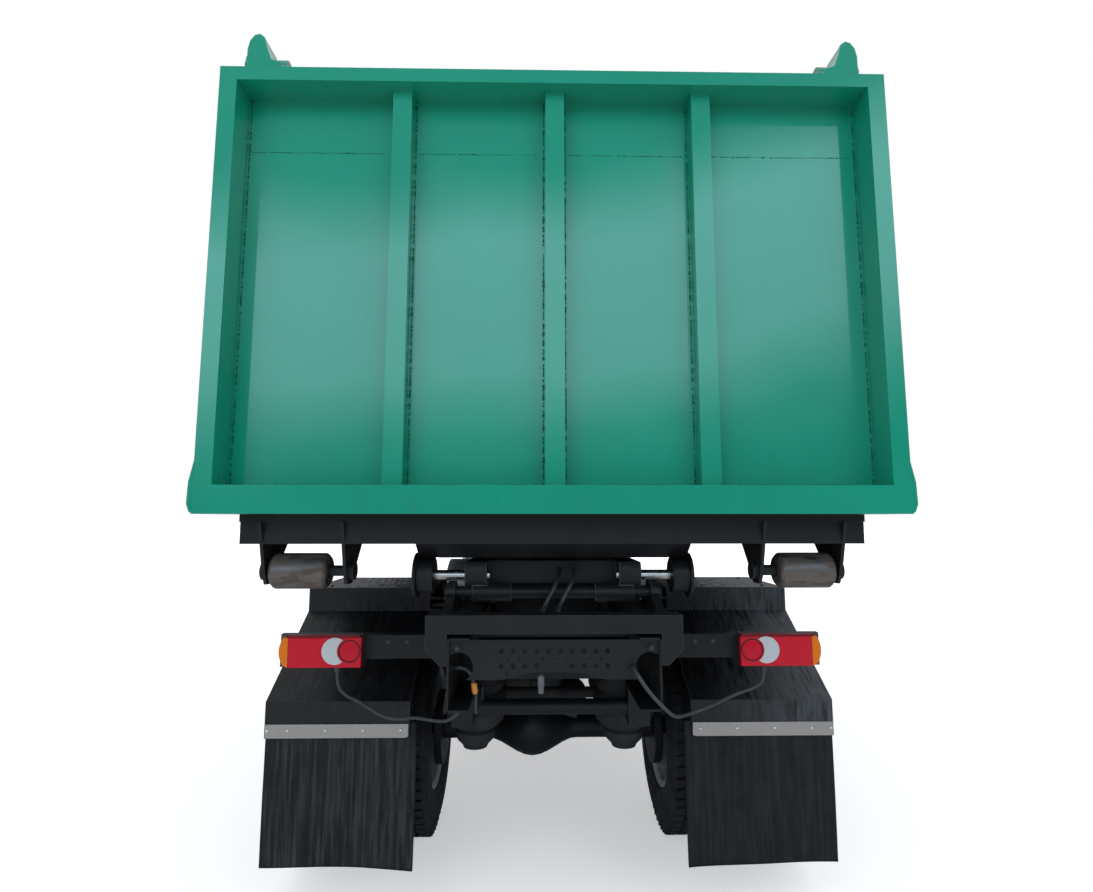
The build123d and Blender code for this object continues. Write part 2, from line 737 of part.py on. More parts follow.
# Front bumper with lamp pockets, an air inlet, steps and the arms to the rails
corner_y = nose_y - 90
inner_y = nose_y - 60
bumper_back_y = nose_y - 250
step_back_y = nose_y - 690
skin = 60
bumper_outline = [
    (-bumper_half, bumper_back_y),
    (-bumper_half, corner_y),
    (-bumper_half + 110, nose_y),
    (bumper_half - 110, nose_y),
    (bumper_half, corner_y),
    (bumper_half, bumper_back_y),
    (bumper_half - skin, bumper_back_y),
    (bumper_half - skin, corner_y - 30),
    (bumper_half - 140, inner_y),
    (-bumper_half + 140, inner_y),
    (-bumper_half + skin, corner_y - 30),
    (-bumper_half + skin, bumper_back_y),
]
lamp_z = (560, 730)
with BuildPart() as front_bumper:
    with BuildSketch(Plane.XY.offset(bumper_low_z)) as plan:
        with BuildLine():
            Polyline(*bumper_outline, close=True)
        make_face()
    extrude(plan.sketch, amount=bumper_top_z - bumper_low_z)
    for side in (-1, 1):
        block(both(side, bumper_half - 330, bumper_half), (step_back_y, bumper_back_y), (460, 490))
        block(both(side, bumper_half - 270, bumper_half), (step_back_y, bumper_back_y), (760, 790))
        block(both(side, bumper_half - 330, bumper_half), (bumper_back_y, bumper_back_y + 30), (460, 790))
        block(both(side, bumper_half - 330, bumper_half - 310), (step_back_y, bumper_back_y), (460, 790))
        arm = [
            (step_back_y + 40, rail_bottom_z - seat_gap),
            (step_back_y + 280, rail_bottom_z - seat_gap),
            (step_back_y + 320, 820),
            (bumper_back_y, 720),
            (inner_y, 720),
            (inner_y, 600),
            (bumper_back_y - 100, 560),
            (step_back_y + 40, 800),
        ]
        side_plate(both(side, rail_outer_x - 60, rail_outer_x - 20), arm)
        tie_x = both(side, rail_outer_x - 20, bumper_half - 330)
        block(tie_x, (step_back_y + 190, step_back_y + 250), (610, 670))
        pocket_x = both(side, lamp_in_front_x, lamp_out_front_x)
        block(pocket_x, (nose_y - 112, nose_y + 2), lamp_z, mode=Mode.SUBTRACT)
    # Inlet slots in the middle
    for slot_z in (470, 540, 610):
        block((-560, 560), (nose_y - 22, nose_y + 1), (slot_z, slot_z + 36), mode=Mode.SUBTRACT)
with BuildPart() as headlamps:
    for side in (-1, 1):
        lamp_x = both(side, lamp_in_front_x + seat_gap, lamp_out_front_x - seat_gap)
        block(lamp_x, (nose_y - 110, nose_y - 8), (lamp_z[0] + seat_gap, lamp_z[1] - seat_gap))

# Wheels: a tyre section and a dished rim, turned about the axle
tyre_profile = [
    (-bead_half, bead_r),
    (-bead_half, bead_r + 15),
    (-tyre_half, 380),
    (-tyre_half, 420),
    (-tyre_half + 9, 490),
    (-tyre_half + 23, tyre_r - 6),
    (-tyre_half + 70, tyre_r),
    (tyre_half - 70, tyre_r),
    (tyre_half - 23, tyre_r - 6),
    (tyre_half - 9, 490),
    (tyre_half, 420),
    (tyre_half, 380),
    (bead_half, bead_r + 15),
    (bead_half, bead_r),
]
flange_half = bead_half + 8
rim_tube = [
    (-flange_half, bead_r - 1),
    (-flange_half, bead_r + 14),
    (-bead_half - seat_gap, bead_r + 14),
    (-bead_half - seat_gap, bead_r - seat_gap),
    (bead_half + seat_gap, bead_r - seat_gap),
    (bead_half + seat_gap, bead_r + 14),
    (flange_half, bead_r + 14),
    (flange_half, bead_r - 1),
    (bead_half - 7, bead_r - 15),
    (-bead_half + 7, bead_r - 15),
]
bore_r = spindle_r + pin_gap
front_disc = [
    (98, 280),
    (60, 280),
    (40, 240),
    (78, 170),
    (78, hub_r),
    (-60, hub_r),
    (-60, bore_r),
    (120, bore_r),
    (120, hub_r - 8),
    (95, hub_r),
    (95, 176),
    (98, 240),
]
rear_disc = [
    (-16, 280),
    (-16, hub_r + 20),
    (-60, hub_r),
    (-60, bore_r),
    (120, bore_r),
    (120, hub_r),
    (16, hub_r + 20),
    (16, 280),
]


def hand_hole_cut(x, y):
    """Round hand holes through a wheel disc near x."""
    with Locations(Location((x, y, axle_z), (0, 90, 0))):
        with PolarLocations(hand_hole_ring_r, hand_holes):
            Cylinder(hand_hole_r, 160, mode=Mode.SUBTRACT)


def front_rim(side):
    """A single rim with its disc near the outer edge, bored for the spindle."""
    with BuildPart() as rim:
        turned(side * front_wheel_x, front_axle_y, axle_z, rim_tube)
        turned(side * front_wheel_x, front_axle_y, axle_z, flanged(front_disc, side))
        hand_hole_cut(side * (front_wheel_x + 70), front_axle_y)
    return rim


def rear_rims(side):
    """Two rims bolted disc to disc, dished towards the middle of the pair."""
    with BuildPart() as rim:
        for centre in (rear_outer_x, rear_inner_x):
            turned(side * centre, rear_axle_y, axle_z, rim_tube)
        turned(side * dual_mid_x, rear_axle_y, axle_z, flanged(rear_disc, side))
        for reach in (-1, 1):
            web = [(reach * 16, 276), (reach * 60, 276), (reach * 60, 268), (reach * 16, 250)]
            turned(side * dual_mid_x, rear_axle_y, axle_z, web)
        hand_hole_cut(side * dual_mid_x, rear_axle_y)
    return rim


def knuckle(side):
    """A steering knuckle: two ears on the king pin, the spindle and the steering arm."""
    arm = [
        (king_x + 14, front_axle_y - 30),
        (king_x + 14, front_axle_y - 60),
        (king_x - 60, front_axle_y - 240),
        (king_x - 95, front_axle_y - 240),
        (king_x - 95, front_axle_y - 215),
        (king_x - 10, front_axle_y - 40),
    ]
    with BuildPart() as made:
        for low in (axle_z - 80, axle_z + 43):
            rod_z(side * king_x, front_axle_y, (low, low + 37), 44)
        post_x = both(side, king_x + 14, king_x + 50)
        block(post_x, (front_axle_y - 40, front_axle_y + 40), (axle_z - 80, axle_z + 80))
        rod_z(side * king_x, front_axle_y, (axle_z - 130, axle_z + 130), king_r + pin_gap, mode=Mode.SUBTRACT)
        rod_z(side * king_x, front_axle_y, (axle_z - 41, axle_z + 41), 48, mode=Mode.SUBTRACT)
        rod_x(both(side, king_x + 49, front_wheel_x + 118), front_axle_y, axle_z, spindle_r)
        with BuildSketch(Plane.XY.offset(axle_z - 80)) as arm_face:
            with BuildLine():
                Polyline(*[(side * x, y) for x, y in arm], close=True)
            make_face()
        extrude(arm_face.sketch, amount=24)
    return made


for side, word in ((-1, "left"), (1, "right")):
    keep(front_rim(side), f"rim_front_{word}")
    keep(rear_rims(side), f"rims_rear_{word}")
    keep(knuckle(side), f"knuckle_{word}")
    with BuildPart() as tyre:
        turned(side * front_wheel_x, front_axle_y, axle_z, tyre_profile)
    keep(tyre, f"tyre_front_{word}")
    with BuildPart() as tyres:
        for centre in (rear_outer_x, rear_inner_x):
            turned(side * centre, rear_axle_y, axle_z, tyre_profile)
    keep(tyres, f"tyres_rear_{word}")

# Tilt frame: two beams on the pivot shaft, joined by cross plates and the sleeve of the jib
sleeve_in_x = jib_half + sleeve_gap
sleeve_in_z = (jib_low_z - sleeve_gap, jib_top_z + sleeve_gap)
sleeve_out_z = (sleeve_in_z[0] - sleeve_wall, sleeve_in_z[1] + sleeve_wall)
jaw_way = (cos(radians(jaw_turn)), sin(radians(jaw_turn)))
with BuildPart() as tilt_frame:
    rear_arm = [
        (pivot_y - 6, pivot_z),
        (pivot_y - guide_pin_r - 12, guide_z - 22),
        (pivot_y - guide_pin_r - 12, guide_z + 22),
        (pivot_y - guide_pin_r, tilt_top_z),
        (pivot_y + 260, tilt_top_z),
        (pivot_y + 160, tilt_low_z),
        (pivot_y + collar_r, pivot_z),
    ]
    for side in (-1, 1):
        block(both(side, tilt_in_x, tilt_out_x), (pivot_y + 100, tilt_front_y), (tilt_low_z, tilt_top_z))
        side_plate(both(side, tilt_in_x, tilt_out_x), rear_arm)
        rod_x(both(side, collar_in_x, collar_out_x), pivot_y, pivot_z, collar_r)
        beam_bore_x = both(side, tilt_in_x - 1, tilt_out_x + 1)
        rod_x(beam_bore_x, pivot_y, guide_z, guide_pin_r + pin_gap, mode=Mode.SUBTRACT)
    # Rear cross plate above the shaft and plates under the beams
    block((-tilt_in_x, tilt_in_x), (pivot_y + 60, pivot_y + 72), (tilt_low_z + 50, tilt_top_z))
    block((-tilt_in_x, tilt_in_x), (pivot_y + 72, pivot_y + 200), (tilt_low_z + 50, tilt_low_z + 62))
    for cross_y in (-2600, -1850, eye_y - under_w, eye_y, tilt_front_y - under_w):
        block((-tilt_out_x, tilt_out_x), (cross_y, cross_y + under_w), (tilt_low_z - plate, tilt_low_z))
    sleeve_out_x = sleeve_in_x + sleeve_wall
    block((-sleeve_out_x, sleeve_out_x), (sleeve_back_y, tilt_front_y), sleeve_out_z)
    block((-tilt_in_x, tilt_in_x), (sleeve_back_y, sleeve_back_y + 60), (tilt_low_z, tilt_top_z))
    block((-tilt_in_x, tilt_in_x), (tilt_front_y - 60, tilt_front_y), (tilt_low_z, tilt_top_z))
    block((-sleeve_in_x, sleeve_in_x), (sleeve_back_y - 1, tilt_front_y + 1), sleeve_in_z, mode=Mode.SUBTRACT)
    rod_x((-tilt_out_x - 1, tilt_out_x + 1), pivot_y, pivot_z, shaft_r + pin_gap, mode=Mode.SUBTRACT)
    # Open jaws for the rod pins, which may leave them while the frame rises
    lug = [
        (eye_y - 110, tilt_low_z - plate),
        (eye_y - 48, eye_z - 30),
        (eye_y + 20, eye_z - 52),
        (eye_y + 60, eye_z - 20),
        (eye_y + 110, tilt_low_z - plate),
    ]
    for side in (-1, 1):
        for cheek in (cylinder_x - cheek_in - plate, cylinder_x + cheek_in):
            side_plate(both(side, cheek, cheek + plate), lug)
        cheeks = both(side, cylinder_x - cheek_in - plate - 1, cylinder_x + cheek_in + plate + 1)
        jaw_r = eye_pin_r + pin_gap
        rod_x(cheeks, eye_y, eye_z, jaw_r, mode=Mode.SUBTRACT)
        jaw = []
        for reach, across in ((0, 1), (0, -1), (160, -2.2), (160, 1.6)):
            jaw.append((
                eye_y + reach * jaw_way[0] - across * jaw_r * jaw_way[1],
                eye_z + reach * jaw_way[1] + across * jaw_r * jaw_way[0],
            ))
        side_plate(cheeks, jaw, mode=Mode.SUBTRACT)

# Jib: the sliding arm, its post and the hook
with BuildPart() as jib:
    block((-jib_half, jib_half), (jib_back_y, post_front_y), (jib_low_z, jib_top_z))
    post = [
        (post_back_y, jib_top_z),
        (post_back_y + 30, hook_bar_z - 230),
        (post_front_y - 60, hook_bar_z - 130),
        (post_front_y, hook_bar_z - 630),
        (post_front_y, jib_top_z),
    ]
    side_plate((-jib_half + 10, jib_half - 10), post)
    for web_x in (-jib_half + 10, jib_half - 30):
        web = [(post_back_y, jib_top_z + 300), (post_back_y - 260, jib_top_z), (post_back_y, jib_top_z)]
        side_plate((web_x, web_x + 20), web)
    # Hook plate: a round throat under the bar, its tip turned up
    hook = [
        (post_back_y + 30, hook_bar_z - 230),
        (hook_bar_y - 40, hook_bar_z - 118),
        (hook_bar_y - 84, hook_bar_z - 78),
        (hook_bar_y - 108, hook_bar_z - 30),
        (hook_bar_y - 112, hook_bar_z + 20),
        (hook_bar_y - 96, hook_bar_z + 52),
        (hook_bar_y - 62, hook_bar_z + 40),
        (hook_bar_y - 44, hook_bar_z + 6),
        (hook_bar_y, hook_bar_z),
        (hook_bar_y + 46, hook_bar_z + 30),
        (hook_bar_y + 80, hook_bar_z + 92),
        (hook_bar_y + 150, hook_bar_z + 120),
        (hook_bar_y + 220, hook_bar_z + 70),
        (post_front_y - 60, hook_bar_z - 40),
        (post_front_y - 60, hook_bar_z - 230),
    ]
    side_plate((-hook_plate_half, hook_plate_half), hook)
    throat_x = (-hook_plate_half - 1, hook_plate_half + 1)
    rod_x(throat_x, hook_bar_y, hook_bar_z, hook_bar_r + seat_gap, mode=Mode.SUBTRACT)

# Lift cylinders: barrels on the subframe's anchors and rods whose pins rest in the tilt frame's jaws
cylinder_angle = atan2(eye_z - anchor_z, eye_y - anchor_y)
along = (cos(cylinder_angle), sin(cylinder_angle))


def cylinder_point(side, distance):
    """The place on a cylinder's axis at a distance from its anchor pin."""
    return (side * cylinder_x, anchor_y + distance * along[0], anchor_z + distance * along[1])


with BuildPart() as cylinder_barrels:
    for side in (-1, 1):
        eye_x = both(side, cylinder_x - cylinder_eye_half, cylinder_x + cylinder_eye_half)
        rod_between(cylinder_point(side, barrel_start), cylinder_point(side, barrel_len), barrel_r)
        gland_nut = (cylinder_point(side, barrel_len - 60), cylinder_point(side, barrel_len - 12))
        rod_between(*gland_nut, barrel_r + 6)
        rod_between(cylinder_point(side, 20), cylinder_point(side, barrel_start), barrel_neck_r)
        rod_x(eye_x, anchor_y, anchor_z, cylinder_eye_r)
        bore_x = both(side, cylinder_x - 50, cylinder_x + 50)
        rod_x(bore_x, anchor_y, anchor_z, anchor_pin_r + pin_gap, mode=Mode.SUBTRACT)
        bore_ends = (cylinder_point(side, 200), cylinder_point(side, barrel_len + 1))
        rod_between(*bore_ends, rod_r + pin_gap, mode=Mode.SUBTRACT)
with BuildPart() as cylinder_rods:
    for side in (-1, 1):
        eye_x = both(side, cylinder_x - cylinder_eye_half, cylinder_x + cylinder_eye_half)
        rod_between(cylinder_point(side, 210), (side * cylinder_x, eye_y, eye_z), rod_r)
        rod_x(eye_x, eye_y, eye_z, cylinder_eye_r)
        pin_x = both(side, cylinder_x - cheek_in - plate, cylinder_x + cheek_in + plate)
        rod_x(pin_x, eye_y, eye_z, eye_pin_r)

# Container shell: floor, ribbed side walls, ribbed front wall with the hook's bail and the rear posts
with BuildPart() as container_shell:
    block((-wall_x, wall_x), (body_back_y, body_front_y), (floor_z, floor_z + floor_t))
    shell_y = (body_back_y, body_front_y)
    for side in (-1, 1):
        block(both(side, wall_x - wall_t, wall_x), shell_y, (floor_z, gate_top_z))
        block(both(side, wall_x, body_half - 2), shell_y, (gate_top_z - 90, gate_top_z))
        block(both(side, wall_x, body_half - 20), shell_y, (floor_z, floor_z + 90))
        post_y = (body_back_y, body_back_y + 80)
        block(both(side, wall_x - wall_t, body_half - 2), post_y, (floor_z, gate_top_z))
        rib_y = body_back_y + side_rib_step
        while rib_y < body_front_y - 200:
            rib_span = (rib_y - side_rib_half, rib_y + side_rib_half)
            block(both(side, wall_x, body_half - 10), rib_span, (floor_z, gate_top_z))
            rib_y += side_rib_step
        # Hinge ear and pin at the top of each rear post
        ear = [
            (body_back_y + 80, gate_top_z),
            (body_back_y + 80, hinge_z - 10),
            (hinge_y + 20, hinge_z + 46),
            (hinge_y - 30, hinge_z + 36),
            (hinge_y - 42, hinge_z - 6),
            (hinge_y - 20, hinge_z - 44),
            (body_back_y, gate_top_z + 16),
            (body_back_y, gate_top_z),
        ]
        side_plate(both(side, ear_out_x + 12, ear_out_x + 36), ear)
        rod_x(both(side, ear_out_x - 120, ear_out_x + 36), hinge_y, hinge_z, hinge_pin_r)
    front_y = (body_front_y - front_wall_t, body_front_y)
    block((-body_half + 2, body_half - 2), front_y, (floor_z, gate_top_z))
    pocket_y = (body_front_y - front_wall_t + wall_t, body_front_y + 1)
    for left, right in ((-1150, -620), (-540, -120), (120, 540), (620, 1150)):
        block((left, right), pocket_y, (floor_z + 90, gate_top_z - 90), mode=Mode.SUBTRACT)
    # Bail: two cheeks that carry the hook's bar
    for side in (-1, 1):
        bail = [
            (body_front_y, floor_z),
            (body_front_y + 70, floor_z),
            (body_front_y + 90, hook_bar_z - 170),
            (hook_bar_y + 46, hook_bar_z - 30),
            (hook_bar_y + 46, hook_bar_z + 40),
            (hook_bar_y + 10, hook_bar_z + 66),
            (body_front_y, hook_bar_z + 66),
        ]
        side_plate(both(side, 60, 90), bail)
    rod_x((-60, 60), hook_bar_y, hook_bar_z, hook_bar_r)

# Container underframe: rails on the guide rollers, cross members, rear apron and roller brackets
with BuildPart() as container_base:
    body_rail_in_x = body_rail_out_x - body_rail_w
    rail_side = [
        (tail_y + 150, body_rail_top_z),
        (tail_y + 150, body_rail_top_z - 14),
        (tail_y + 340, body_rail_low_z),
        (body_front_y, body_rail_low_z),
        (body_front_y, body_rail_top_z),
    ]
    apron = [
        (body_back_y, body_rail_top_z),
        (body_back_y + plate, body_rail_top_z),
        (tail_y + 338, body_rail_low_z),
        (tail_y + 326, body_rail_low_z),
    ]
    roller_ear = [
        (roller_y - 110, body_rail_top_z),
        (roller_y - 52, roller_z - 10),
        (roller_y - 30, roller_z - 48),
        (roller_y + 30, roller_z - 48),
        (roller_y + 52, roller_z - 10),
        (roller_y + 230, body_rail_top_z),
    ]
    side_plate((-body_rail_in_x, body_rail_in_x), apron)
    for side in (-1, 1):
        side_plate(both(side, body_rail_in_x, body_rail_out_x), rail_side)
        recess_x = both(side, body_rail_out_x - 30, body_rail_out_x + 1)
        recess_y = (tail_y + 440, body_front_y - plate)
        block(recess_x, recess_y, (body_rail_low_z + 14, body_rail_top_z - cross_h - 2), mode=Mode.SUBTRACT)
        for reach in (764, 1060):
            side_plate(both(side, reach, reach + plate), roller_ear)
        rod_x(both(side, 752, 1084), roller_y, roller_z, roller_pin_r)
        for head in (746, 1072):
            rod_x(both(side, head, head + 18), roller_y, roller_z, roller_pin_r + 14)
        sill_x = both(side, base_half - 40, base_half)
        block(sill_x, (body_back_y + 40, body_front_y), (body_rail_top_z - cross_h, body_rail_top_z))
    block((-base_half, base_half), (body_back_y, body_front_y), (body_rail_top_z, floor_z - seat_gap))
    cross_y = body_back_y + 10
    while cross_y < body_front_y - 60:
        block((-base_half, base_half), (cross_y, cross_y + 50), (body_rail_top_z - cross_h, body_rail_top_z))
        cross_y += side_rib_step

# Ground rollers with chamfered ends, each turning on its bracket's pin
roller_half = roller_w / 2
roller_profile = [
    (-roller_half, roller_pin_r + pin_gap),
    (-roller_half, roller_r - 14),
    (-roller_half + 14, roller_r),
    (roller_half - 14, roller_r),
    (roller_half, roller_r - 14),
    (roller_half, roller_pin_r + pin_gap),
]
for side, word in ((-1, "left"), (1, "right")):
    with BuildPart() as ground_roller:
        turned(side * (roller_in_x + roller_half), roller_y, roller_z, roller_profile)
    keep(ground_roller, f"ground_roller_{word}")

# Tailgate: box frame, recessed sheet, three ribs, corner lugs and the hinge ears
sheet_back = tail_y + gate_t - gate_sheet_t
gate_ear = [
    (ear_out_x, gate_top_z - 1),
    (ear_out_x, hinge_z + 10),
    (ear_out_x - 8, hinge_z + 46),
    (ear_out_x - 24, hinge_z + 68),
    (ear_out_x - 44, hinge_z + 74),
    (ear_out_x - 62, hinge_z + 60),
    (ear_out_x - 72, hinge_z + 20),
    (ear_out_x - 90, hinge_z - 28),
    (ear_out_x - 130, hinge_z - 44),
    (ear_out_x - 130, gate_top_z - 1),
]
corner_lug = [
    (body_half - 1, gate_low_z),
    (body_half + 10, gate_low_z + 8),
    (body_half + 20, gate_low_z + 34),
    (body_half + 18, gate_low_z + 110),
    (body_half - 1, gate_low_z + 200),
]
with BuildPart() as tailgate:
    block((-body_half, body_half), (sheet_back, tail_y + gate_t), (gate_low_z, gate_top_z))
    block((-body_half, body_half), (tail_y, sheet_back), (gate_low_z, gate_low_z + gate_beam_low_h))
    block((-body_half, body_half), (tail_y, sheet_back), (gate_top_z - gate_beam_top_h, gate_top_z))
    for side in (-1, 1):
        block(both(side, body_half - gate_post_w, body_half), (tail_y, sheet_back), (gate_low_z, gate_top_z))
        cross_plate((tail_y + 14, hinge_y + 13), [(side * x, z) for x, z in gate_ear])
        boss_x = both(side, ear_out_x - 120, ear_out_x)
        rod_x(boss_x, hinge_y, hinge_z, hinge_pin_r + 14)
        bore_x = both(side, ear_out_x - 122, ear_out_x + 2)
        rod_x(bore_x, hinge_y, hinge_z, hinge_pin_r + pin_gap, mode=Mode.SUBTRACT)
        cross_plate((tail_y + 4, sheet_back), [(side * x, z) for x, z in corner_lug])
    rib_z = (gate_low_z + gate_beam_low_h, gate_top_z - gate_beam_top_h)
    for rib_x in gate_ribs_x:
        rib_span = (rib_x - gate_rib_w / 2, rib_x + gate_rib_w / 2)
        block(rib_span, (sheet_back - gate_rib_h, sheet_back), rib_z)

# Cab shell: outer form, hollow inside, windows and door openings cut
slope_low = (cab_front_y, 1760)
slope_high = (cab_front_y - 185, 2720)
cab_outline = [
    (cab_back_y, cab_low_z),
    (cab_front_y - 145, cab_low_z),
    (cab_front_y - 145, cab_skirt_z),
    (cab_front_y - 25, cab_skirt_z),
    (cab_front_y, cab_skirt_z + 50),
    slope_low,
    slope_high,
    (cab_front_y - 295, cab_roof_z - 70),
    (cab_back_y + 170, cab_roof_z),
    (cab_back_y, cab_roof_z - 90),
]
cab_inside = [
    (cab_back_y + cab_wall, cab_low_z + cab_wall),
    (cab_front_y - cab_wall, cab_low_z + cab_wall),
    (cab_front_y - cab_wall, 1740),
    (cab_front_y - 240, 2700),
    (cab_front_y - 325, 2800),
    (cab_back_y + 180, cab_roof_z - 62),
    (cab_back_y + cab_wall, cab_roof_z - 140),
]


def screen_y(z):
    """The y of the screen's outer face at a height."""
    share = (z - slope_low[1]) / (slope_high[1] - slope_low[1])
    return slope_low[0] + share * (slope_high[0] - slope_low[0])


def door_shape(gap):
    """The door's outline in (y, z), drawn in by a gap."""
    back = door_back_y + gap
    front = door_hinge_y - gap
    return [
        (back, door_low_z + gap),
        (front, door_low_z + gap),
        (front, sill_z),
        (door_hinge_y - 130 - gap, door_top_z - gap),
        (back, door_top_z - gap),
    ]


side_window = [
    (door_back_y + 90, sill_z),
    (door_hinge_y - 90, sill_z),
    (door_hinge_y - 215, door_top_z - 90),
    (door_back_y + 90, door_top_z - 90),
]
with BuildPart() as cab_shell:
    side_plate((-cab_half, cab_half), cab_outline)
    sides = cab_shell.edges().filter_by(lambda e: abs(e.center().X) > cab_half - 1)
    corners = sides.filter_by(lambda e: e.center().Y > cab_front_y - 300)
    fillet(corners.filter_by(lambda e: e.center().Z > cab_skirt_z + 60), 70)
    side_plate((-cab_half + cab_wall, cab_half - cab_wall), cab_inside, mode=Mode.SUBTRACT)
    skirt_x = (-cab_half + cab_wall, cab_half - cab_wall)
    skirt_y = (cab_front_y - 285, cab_front_y - 59)
    block(skirt_x, skirt_y, (cab_skirt_z - 1, cab_low_z + 1), mode=Mode.SUBTRACT)
    screen_z = (screen_low_z, screen_high_z)
    block((-screen_half, screen_half), (cab_front_y - 285, nose_y), screen_z, mode=Mode.SUBTRACT)
    back_wall_y = (cab_back_y - 1, cab_back_y + cab_wall + 1)
    block(back_window[0], back_wall_y, back_window[1], mode=Mode.SUBTRACT)
    # Grille: recessed slots that leave slats between them
    for slot_z in range(cab_skirt_z + 170, 1560, 90):
        block((-640, 640), (cab_front_y - 18, cab_front_y + 1), (slot_z, slot_z + 58), mode=Mode.SUBTRACT)
    # Sun visor above the screen
    visor = [
        (screen_y(screen_high_z + 30) - 6, screen_high_z + 30),
        (screen_y(screen_high_z + 30) + 130, screen_high_z - 20),
        (screen_y(screen_high_z + 30) + 130, screen_high_z - 6),
        (screen_y(screen_high_z + 60) - 6, screen_high_z + 62),
    ]
    side_plate((-screen_half, screen_half), visor)
    arm = [
        (cab_pivot_y - 200, cab_low_z + 1),
        (cab_pivot_y - 40, cab_pivot_z - 20),
        (cab_pivot_y, cab_pivot_z - 42),
        (cab_pivot_y + 40, cab_pivot_z - 10),
        (cab_pivot_y + 50, cab_low_z + 1),
    ]
    for side in (-1, 1):
        side_plate(both(side, cab_half - cab_wall - 1, cab_half + 1), door_shape(0), mode=Mode.SUBTRACT)
        # Pivot arms under the floor
        side_plate(both(side, rail_outer_x + 22, rail_outer_x + 46), arm)
        arm_x = both(side, rail_outer_x + 21, rail_outer_x + 47)
        rod_x(arm_x, cab_pivot_y, cab_pivot_z, cab_pivot_r + pin_gap, mode=Mode.SUBTRACT)
        # Door hinge pins on the front pillar
        hinge_x = side * (cab_half + hinge_out)
        for low in hinge_lows:
            upper = (low + hinge_leaf + 1, low + hinge_leaf + 25)
            pillar_leaf_y = (door_hinge_y + 8, door_hinge_y + 60)
            block(both(side, cab_half - 1, cab_half + hinge_out), pillar_leaf_y, upper)
            block(both(side, cab_half + 2, cab_half + hinge_out), (door_hinge_y, door_hinge_y + 10), upper)
            rod_z(hinge_x, door_hinge_y, (low - 4, low + hinge_leaf + 6), hinge_pin_small_r)
            rod_z(hinge_x, door_hinge_y, upper, hinge_knuckle_r)
with BuildPart() as cab_glass:
    pane = [
        (screen_y(screen_low_z) - 20, screen_low_z + seat_gap),
        (screen_y(screen_low_z) - 20 - glass_t, screen_low_z + seat_gap),
        (screen_y(screen_high_z) - 20 - glass_t, screen_high_z - seat_gap),
        (screen_y(screen_high_z) - 20, screen_high_z - seat_gap),
    ]
    side_plate((-screen_half + seat_gap, screen_half - seat_gap), pane)
    rear_x = (back_window[0][0] + seat_gap, back_window[0][1] - seat_gap)
    rear_z = (back_window[1][0] + seat_gap, back_window[1][1] - seat_gap)
    block(rear_x, (cab_back_y + 20, cab_back_y + 20 + glass_t), rear_z)

# Seats, dashboard, column and steering wheel
seat_back_y = cab_back_y + 300
with BuildPart() as seats:
    for side in (-1, 1):
        block(both(side, 320, 840), (seat_back_y, seat_back_y + 520), (1540, 1680))
        seat_back = [
            (seat_back_y, 1640),
            (seat_back_y + 140, 1640),
            (seat_back_y + 40, 2380),
            (seat_back_y - 90, 2380),
        ]
        side_plate(both(side, 330, 830), seat_back)
        pedestal_y = (seat_back_y + 60, seat_back_y + 460)
        block(both(side, 400, 760), pedestal_y, (cab_low_z + cab_wall + seat_gap, 1540))
with BuildPart() as dashboard:
    dash_y = cab_front_y - cab_wall - seat_gap
    dash = [
        (dash_y, cab_low_z + cab_wall + seat_gap),
        (dash_y, 1738),
        (dash_y - 25, 1840),
        (dash_y - 225, 1800),
        (dash_y - 325, 1700),
        (dash_y - 295, 1560),
        (dash_y - 125, 1400),
        (dash_y - 125, cab_low_z + cab_wall + seat_gap),
    ]
    dash_half = cab_half - cab_wall - 2
    side_plate((-dash_half, dash_half), dash)
    rod_between((wheel_x, dash_y - 295, 1660), (wheel_x, wheel_y + 10, wheel_z - 5), 30)
    with Locations(Plane(origin=(wheel_x, wheel_y, wheel_z), z_dir=(0, -270, 130)).location):
        Torus(210, 16)
        Cylinder(60, 24)
        Box(400, 34, 14)

# Mirrors on arms at the front corners
mirror_y = cab_front_y - 155
with BuildPart() as mirrors:
    for side in (-1, 1):
        block(both(side, cab_half + 90, cab_half + 290), (mirror_y - 30, mirror_y + 60), (1900, 2360))
        for arm_z in (1960, 2300):
            arm_x = both(side, cab_half + seat_gap, cab_half + 90)
            block(arm_x, (mirror_y, mirror_y + 25), (arm_z, arm_z + 25))

# Doors: as thick as the wall, with the window cut, hinged at the front edge
for side, word in ((-1, "left"), (1, "right")):
    hinge_x = side * (cab_half + hinge_out)
    with BuildPart() as door:
        side_plate(both(side, cab_half - cab_wall, cab_half), door_shape(door_gap))
        side_plate(both(side, cab_half - cab_wall - 1, cab_half + 1), side_window, mode=Mode.SUBTRACT)
        block(both(side, cab_half, cab_half + 28), (door_back_y + 70, door_back_y + 210), (1700, 1730))
        for low in hinge_lows:
            leaf_z_span = (low, low + hinge_leaf)
            rod_z(hinge_x, door_hinge_y, leaf_z_span, hinge_knuckle_r)
            door_leaf_y = (door_hinge_y - 70, door_hinge_y - 8)
            block(both(side, cab_half - 1, cab_half + hinge_out), door_leaf_y, leaf_z_span)
            knuckle_y = (door_hinge_y - 10, door_hinge_y)
            block(both(side, cab_half + 4, cab_half + hinge_out), knuckle_y, leaf_z_span)
            bore_z = (low - 5, low + hinge_leaf + 5)
            rod_z(hinge_x, door_hinge_y, bore_z, hinge_pin_small_r + pin_gap, mode=Mode.SUBTRACT)
    keep(door, f"door_{word}")
    with BuildPart() as pane:
        side_plate(both(side, cab_half - 34, cab_half - 34 + glass_t), side_window)
    keep(pane, f"door_glass_{word}")

